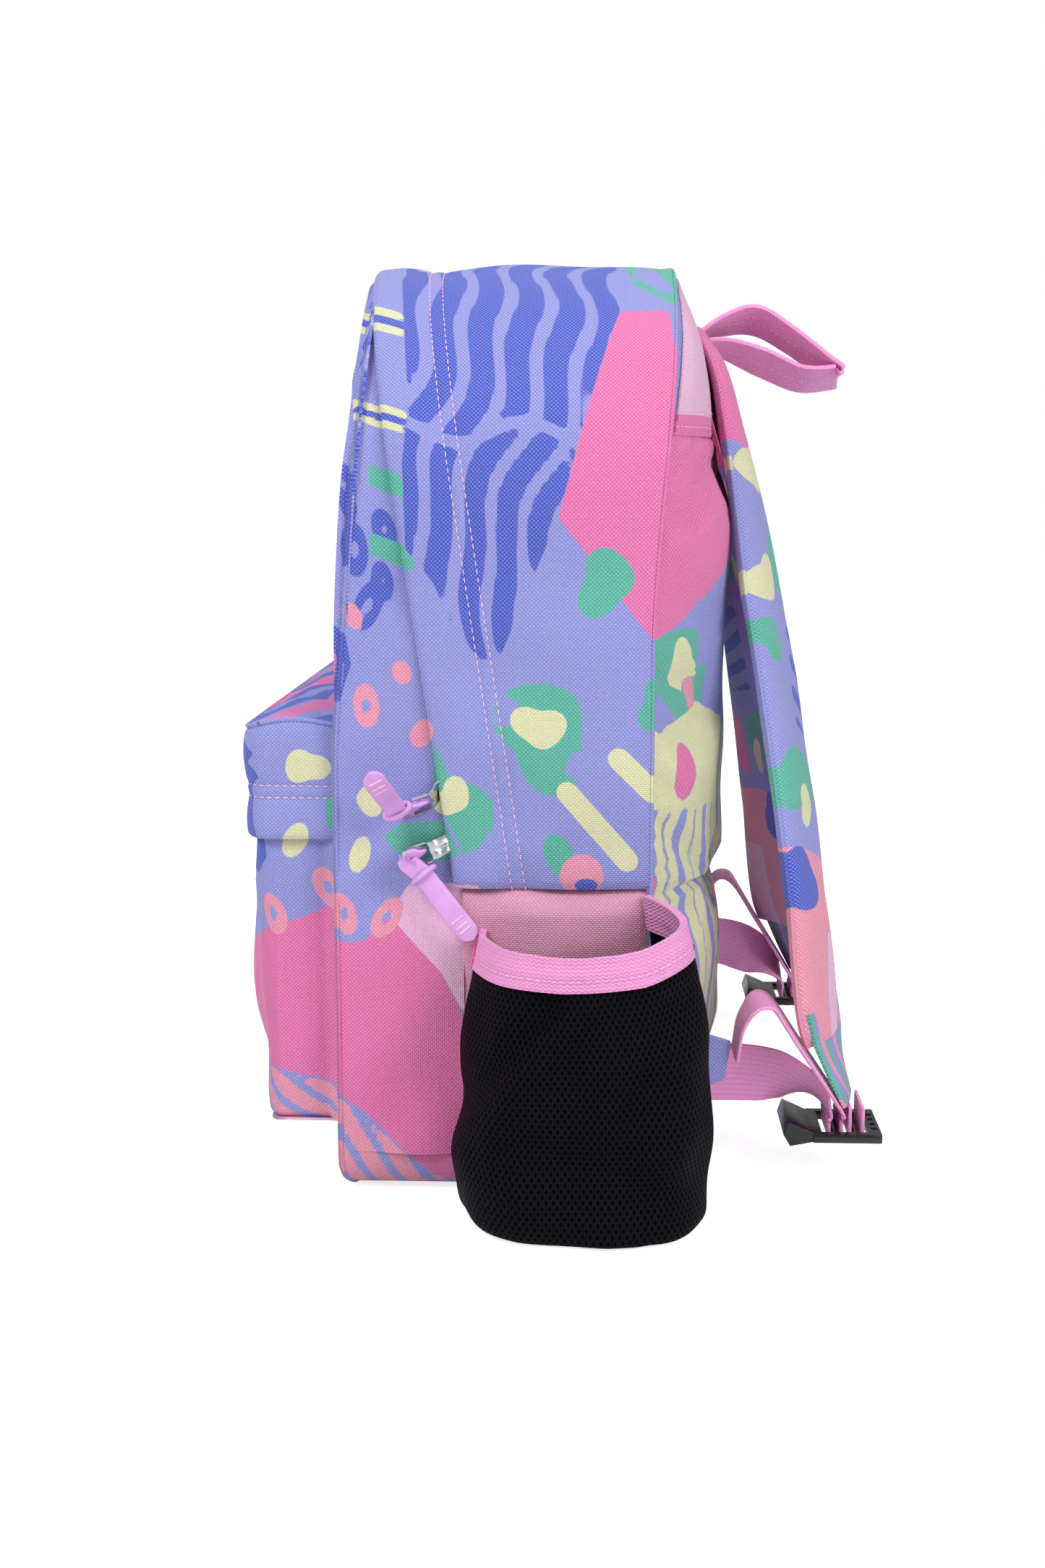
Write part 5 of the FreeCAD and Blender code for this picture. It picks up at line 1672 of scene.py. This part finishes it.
class BACKPACK_OT_handle(bpy.types.Operator):
    """Builds the carry handle of folded webbing"""
    bl_idname = "backpack.handle"
    bl_label = "Build the carry handle"

    def execute(self, context):
        loop = [(0, 87.6, 368.5), (0, 101, 374), (0, 116, 376.5), (0, 132, 368), (0, 150, 355),
                (0, 155.5, 351), (0, 153, 350), (0, 138, 349.5), (0, 120, 357), (0, 103, 363.5),
                (0, 87.6, 366)]
        twist = [(1, 0, t) for t in (0, 0.3, 0.5, 0.45, 0.4, 0.4, 0.4, 0.45, 0.5, 0.3, 0)]
        piece = ribbon("handle_webbing", loop, twist, WEBBING, sizes().webbing / MM + 0.4, webbing_tape(),
                       130)
        rides(piece, "grab_handle", ("grab_handle",))
        line = spline(loop, 130)
        along = unit(np.gradient(line, axis=0))
        out = np.cross(along, [[1.0, 0, 0]])
        rows = []
        for k in (slice(6, 56), slice(74, 124)):
            rows += [(line[k] - out[k] * 1.05, -out[k]), (line[k] + out[k] * 1.05, out[k])]
        rides(stitches("handle_stitches", rows), "grab_handle")
        return {"FINISHED"}


# ---- zippers -------------------------------------------------------------------------------------
class BACKPACK_OT_zippers(bpy.types.Operator):
    """Builds the coil zippers, and dresses the tapes, sliders, pullers and rubber tabs"""
    bl_idname = "backpack.zippers"
    bl_label = "Build the zippers"

    def execute(self, context):
        tape = plain("zipper tape", "lilac", pitch=0.6, own=False, dots=0.15, bump=0.1)
        for node in ("zip_tape_rear", "zip_tape_front_lower_right", "zip_tape_front_lower_left",
                     "zip_tape_front_upper", "pocket_zip_tape_lower", "pocket_zip_tape_upper"):
            dress(node, tape)
        silver = smooth_finish("cast silver metal", "metal", 0.3, metal=1.0, grain=0.002)
        rubber = smooth_finish("satin lilac rubber", "rubber", 0.42, grain=0.03, soft=0.08)
        for name in ("main_slider_upper", "main_slider_lower", "pocket_slider", "zip_end_stop_right",
                     "zip_end_stop_left"):
            dress(name, silver, 0.3)
        slant = (0, -0.927, -0.3745)
        for key, pivot, toward, out, turn, size, collar, tip in (("main_%s_upper", (147.75, -11.05, 182.0),
                slant, (1, 0, 0), -38, 28, (158, -38.5, 168.5), (174, -48, 187)),
                ("main_%s_lower", (147.75, -7.53, 158.5), slant, (1, 0, 0), 0, 31, (156, -28.3, 141.5),
                 (164, -7, 116.5)), ("pocket_%s", (-125, -102.75, 167), (0, 0, -1), (0, -1, 0), 0, 28,
                                     (-125, -110.5, 130), (-126, -111.5, 104)), ):
            body = "pocket" if key.startswith("pocket") else key.split("_")[-1]
            along, face = np.array(toward, float), np.array(out, float)
            across = np.cross(face, along)
            angle = math.radians(turn)
            cos, sin = math.cos(angle), math.sin(angle)
            across, face = across * cos + face * sin, face * cos - across * sin
            eye = self.puller(key % "puller", body, silver, np.array(pivot, float), along, across, face, size)
            self.pull_tab(key % "pull_tab", body, rubber, eye, np.array(out, float), np.array(collar, float),
                          np.array(tip, float))
        self.coils()
        return {"FINISHED"}

    def puller(self, node, body, silver, pivot, along, across, face, size):
        """A cast plate that widens to a large eye. Returns the middle of the eye and of its end bar."""
        middle = size - 6.5
        angle = np.linspace(0, 2 * np.pi, 96, endpoint=False)
        ray = np.stack([np.cos(angle), np.sin(angle)], -1)

        def reach(corners, soft):
            """How far a ray from the middle of the eye runs to a rounded outline."""
            shape = np.array(corners, float) - (middle, 0)
            far = np.full(len(angle), 1e9)
            for a, b in zip(shape, np.roll(shape, -1, 0)):
                normal = np.array([b[1] - a[1], a[0] - b[0]])
                normal = normal / np.linalg.norm(normal)
                far = np.minimum(far, (a @ normal) / np.maximum(ray @ normal, 1e-3))
            for _ in range(soft):
                far = (np.roll(far, 1) + far + np.roll(far, -1)) / 3
            return far

        outer = reach([(-2, -3.4), (8, -3.6), (size - 9, -6.6), (size - 2, -7.2), (size, -4.5), (size, 4.5),
                       (size - 2, 7.2), (size - 9, 6.6), (8, 3.6), (-2, 3.4)], 2)
        hole = reach([(size - 11.5, -4.4), (size - 3.6, -5.0), (size - 2.4, -3.6), (size - 2.4, 3.6),
                      (size - 3.6, 5.0), (size - 11.5, 4.4)], 3)
        shares = (0.96, 0.84, 0.72, 0.6, 0.48, 0.36, 0.24, 0.12, 0.05)
        section = [(1.0, 0.4)] + [(k, 0.7) for k in shares] + [(0.0, 0.4), (0.0, -0.4)]
        section += [(k, -0.7) for k in shares[::-1]] + [(1.0, -0.4)]
        grid = []
        for share, high in section:
            flat = (hole + (outer - hole) * share)[:, None] * ray
            d, w = flat[:, 0] + middle, flat[:, 1]
            step = 0.4 + 5.6 * ease((d - 11) / 6) + high
            grid.append(pivot + d[:, None] * along + w[:, None] * across + step[:, None] * face)
        grid = np.stack(grid, 1)
        rides(hoop(node + "_plate", grid, silver, 28), body + "_puller", (node,))
        lift = face * 6.0
        return pivot + along * (middle + 1) + lift, pivot + along * (size - 1.2) + lift

    def pull_tab(self, node, body, rubber, eye, out, collar, tip):
        """A rubber strip looped through the eye, gathered by a collar and ending in a round tongue."""
        hole, end_bar = eye
        tongue = unit(tip - collar)
        across = unit(np.cross(tongue, out))
        normal = np.cross(across, tongue)
        normal *= np.sign(normal @ out)
        path = [collar - normal * 1.6, end_bar - out * 2.4, hole - out * 1.0 - (end_bar - hole) * 0.1,
                hole + out * 1.0 - (end_bar - hole) * 0.1, end_bar + out * 2.4, collar + normal * 0.6,
                collar + tongue * 7 + normal * 0.4, collar + (tip - collar) * 0.7 + normal * 1.2, tip]
        line = spline(path, 90)
        along = unit(np.gradient(line, axis=0))
        wide = across - along * np.sum(along * across, axis=1, keepdims=True)
        wide = unit(wide)
        high = np.cross(along, wide)
        gone = travelled(line)
        left = gone[-1] - gone
        half = 4.7 * np.sqrt(np.clip(1 - (1 - np.clip(left / 4.7, 0, 1)) ** 2, 0.01, 1))
        half = np.minimum(half, np.interp(gone, [0, gone[-1] * 0.5, gone[-1]], [4.0, 4.4, 4.9]))
        a = np.linspace(0, 2 * np.pi, 20, endpoint=False)
        c, q = np.sign(np.cos(a)) * np.abs(np.cos(a)) ** 0.5, np.sign(np.sin(a)) * np.abs(np.sin(a)) ** 0.7
        grid = (line[:, None] + wide[:, None] * (half[:, None] * c)[..., None]
                + high[:, None] * (1.05 * q)[None, :, None])
        piece = bar(node + "_strip", grid, [rubber], cloth_lines(gone[:, None], half[:, None] * c), sharp=60)
        rides(piece, body + "_tab", (node,))
        turns = np.linspace(0, 2 * np.pi, 48, endpoint=False)
        centre = collar - normal * 0.4
        ring = []
        for t in turns:
            way = across * math.cos(t) * 5.6 + normal * math.sin(t) * 3.2
            outward = unit(across * math.cos(t) / 5.6 + normal * math.sin(t) / 3.2)
            ring.append([centre + way + outward * 1.15 * math.cos(b) + tongue * 1.25 * math.sin(b)
                         for b in np.linspace(0, 2 * np.pi, 12, endpoint=False)])
        rides(hoop(node + "_collar", np.array(ring), rubber), body + "_tab")
        marks = []
        for k in (5.0, 7.5, 10.0):
            at = int(np.argmin(np.abs(left - k)))
            face = high[at] * np.sign(high[at] @ out)
            marks.append((line[at] + face * 1.1 + wide[at] * np.linspace(-2.6, 2.6, 9)[:, None], face))
        pale = smooth_finish("pale rubber", "light", 0.45, grain=0.02)
        rides(beads(node + "_ribs", marks, pale, 0.55, 0.9, 1.0, 0.5), body + "_tab")

    def coils(self):
        pitch = sizes().tooth / MM
        material = smooth_finish("nylon coil", "lilac", 0.35, grain=0.02)
        s = np.linspace(-S_HEM + 2, S_HEM - 2, 601)
        x, z, nx, nz = outline(s)
        away = np.stack([nx, 0 * nx, nz], -1)
        inset = ZIP_LIFT + 0.8

        def row(shift):
            return np.stack([x - nx * inset, zip_y(z) + shift, z - nz * inset], -1)

        def coil(name, lines):
            return beads(name, lines, material, pitch, pitch * 0.62, 2.7, 1.5)

        rides(coil("coil_rear", [(row(1.5), away)]), "root")
        upper = np.abs(s) < round_to(FOLD + 1)
        rides(coil("coil_front_upper", [(row(-1.5)[upper], away[upper])]), "mouth_flap")
        lower = [(row(-1.5)[k], away[k]) for k in (s > round_to(FOLD), s < -round_to(FOLD))]
        rides(coil("coil_front_lower", lower), "root")
        p = np.linspace(-POCKET_RUN + 3, POCKET_RUN - 3, 400)
        px, py, qx, qy = pocket_path(p)
        out = np.stack([qx, qy, 0 * qx], -1)
        for name, shift, body in (("coil_pocket_upper", 1.5, "pocket_lid"),
                                  ("coil_pocket_lower", -1.5, "root")):
            line = np.stack([px - qx * inset, py - qy * inset, np.full(len(p), POCKET_ZIP + shift)], -1)
            lines = [(line, out)]
            if shift < 0:
                park = (px < -112) & (px > -140) & (qy < -0.5)
                cut = int(np.flatnonzero(park)[0]), int(np.flatnonzero(park)[-1])
                lines = [(line[:cut[0]], out[:cut[0]]), (line[cut[1]:], out[cut[1]:])]
            rides(coil(name, lines), body)


# ---- studio --------------------------------------------------------------------------------------
def aim(thing, place, ahead):
    """Stands a light or the camera at a place, looking ahead."""
    thing.location = place
    thing.rotation_mode = "QUATERNION"
    thing.rotation_quaternion = ahead.to_track_quat("-Z", "Y")


class BACKPACK_OT_stage(bpy.types.Operator):
    """Sets the floor, the lights and the camera"""
    bl_idname = "backpack.stage"
    bl_label = "Set the stage"

    def execute(self, context):
        scene = context.scene
        world = scene.world or bpy.data.worlds.new("studio")
        scene.world = world
        world.use_nodes = True
        tree = world.node_tree
        tree.nodes.clear()
        soft, white = add(tree, "ShaderNodeBackground", Strength=0.34), add(tree, "ShaderNodeBackground",
                Strength=1.0)
        soft.inputs["Color"].default_value = (0.97, 0.98, 1.0, 1)
        white.inputs["Color"].default_value = (1, 1, 1, 1)
        path, mix, out = add(tree, "ShaderNodeLightPath"), add(tree, "ShaderNodeMixShader"), add(tree,
                "ShaderNodeOutputWorld")
        tree.links.new(path.outputs["Is Camera Ray"], mix.inputs[0])
        tree.links.new(soft.outputs[0], mix.inputs[1])
        tree.links.new(white.outputs[0], mix.inputs[2])
        tree.links.new(mix.outputs[0], out.inputs[0])
        material, tree, shader = new_material("white studio floor")
        shader.inputs["Base Color"].default_value = (0.9, 0.9, 0.9, 1)
        shader.inputs["Emission Color"].default_value = (1, 1, 1, 1)
        seen = add(tree, "ShaderNodeLightPath")
        tree.links.new(math_node(tree, "MULTIPLY", seen.outputs["Is Camera Ray"], 0.75),
                       shader.inputs["Emission Strength"])
        bpy.ops.mesh.primitive_plane_add(size=12, location=(0, 0, -0.0005))
        floor = context.object
        floor.name = "studio_floor"
        floor.data.materials.append(material)
        for name, place, power, size in (("key", (1.3, -0.9, 1.7), 27, 0.8),
                                         ("fill", (1.4, 1.7, 1.2), 28, 1.2),
                                         ("top", (0.2, 0.1, 2.1), 11, 1.2),
                                         ("rim", (-1.4, -1.2, 1.0), 8, 1.2)):
            data = bpy.data.lights.new(name, "AREA")
            data.energy, data.size = power, size
            aim(placed(name, data), place, Vector((0, 0, 0.2)) - Vector(place))
        data = bpy.data.cameras.new("camera")
        data.lens, data.sensor_width = LENS, 36.0
        camera = placed("camera", data)
        yaw, pitch = math.radians(YAW), math.radians(PITCH)
        ahead = Vector((-math.cos(yaw) * math.cos(pitch), -math.sin(yaw) * math.cos(pitch), -math.sin(pitch)))
        aim(camera, EYE * MM, ahead)
        scene.camera = camera
        scene.view_settings.view_transform = "Standard"
        return {"FINISHED"}


# ---- panel and registration ----------------------------------------------------------------------
OPERATORS = (BACKPACK_OT_shell, BACKPACK_OT_panels, BACKPACK_OT_pocket, BACKPACK_OT_side_pockets,
             BACKPACK_OT_straps, BACKPACK_OT_webbing, BACKPACK_OT_handle, BACKPACK_OT_zippers,
             BACKPACK_OT_stage)


class BACKPACK_PT_panel(bpy.types.Panel):
    bl_idname = "BACKPACK_PT_panel"
    bl_label = "School backpack"
    bl_space_type = "VIEW_3D"
    bl_region_type = "UI"
    bl_category = "Backpack"

    def draw(self, context):
        for operator in OPERATORS:
            self.layout.operator(operator.bl_idname)
        for settings in (context.scene.backpack_sizes, context.scene.backpack_colours):
            box = self.layout.box()
            for key in settings.__annotations__:
                box.prop(settings, key)


CLASSES = (BackpackSizes, BackpackColours) + OPERATORS + (BACKPACK_PT_panel,)


def register():
    for cls in CLASSES:
        bpy.utils.register_class(cls)
    bpy.types.Scene.backpack_sizes = bpy.props.PointerProperty(type=BackpackSizes)
    bpy.types.Scene.backpack_colours = bpy.props.PointerProperty(type=BackpackColours)


def unregister():
    del bpy.types.Scene.backpack_sizes
    del bpy.types.Scene.backpack_colours
    for cls in reversed(CLASSES):
        bpy.utils.unregister_class(cls)


def main():
    register()
    for operator in OPERATORS:
        getattr(bpy.ops.backpack, operator.bl_idname.split(".")[1])()


if __name__ == "__main__":
    main()
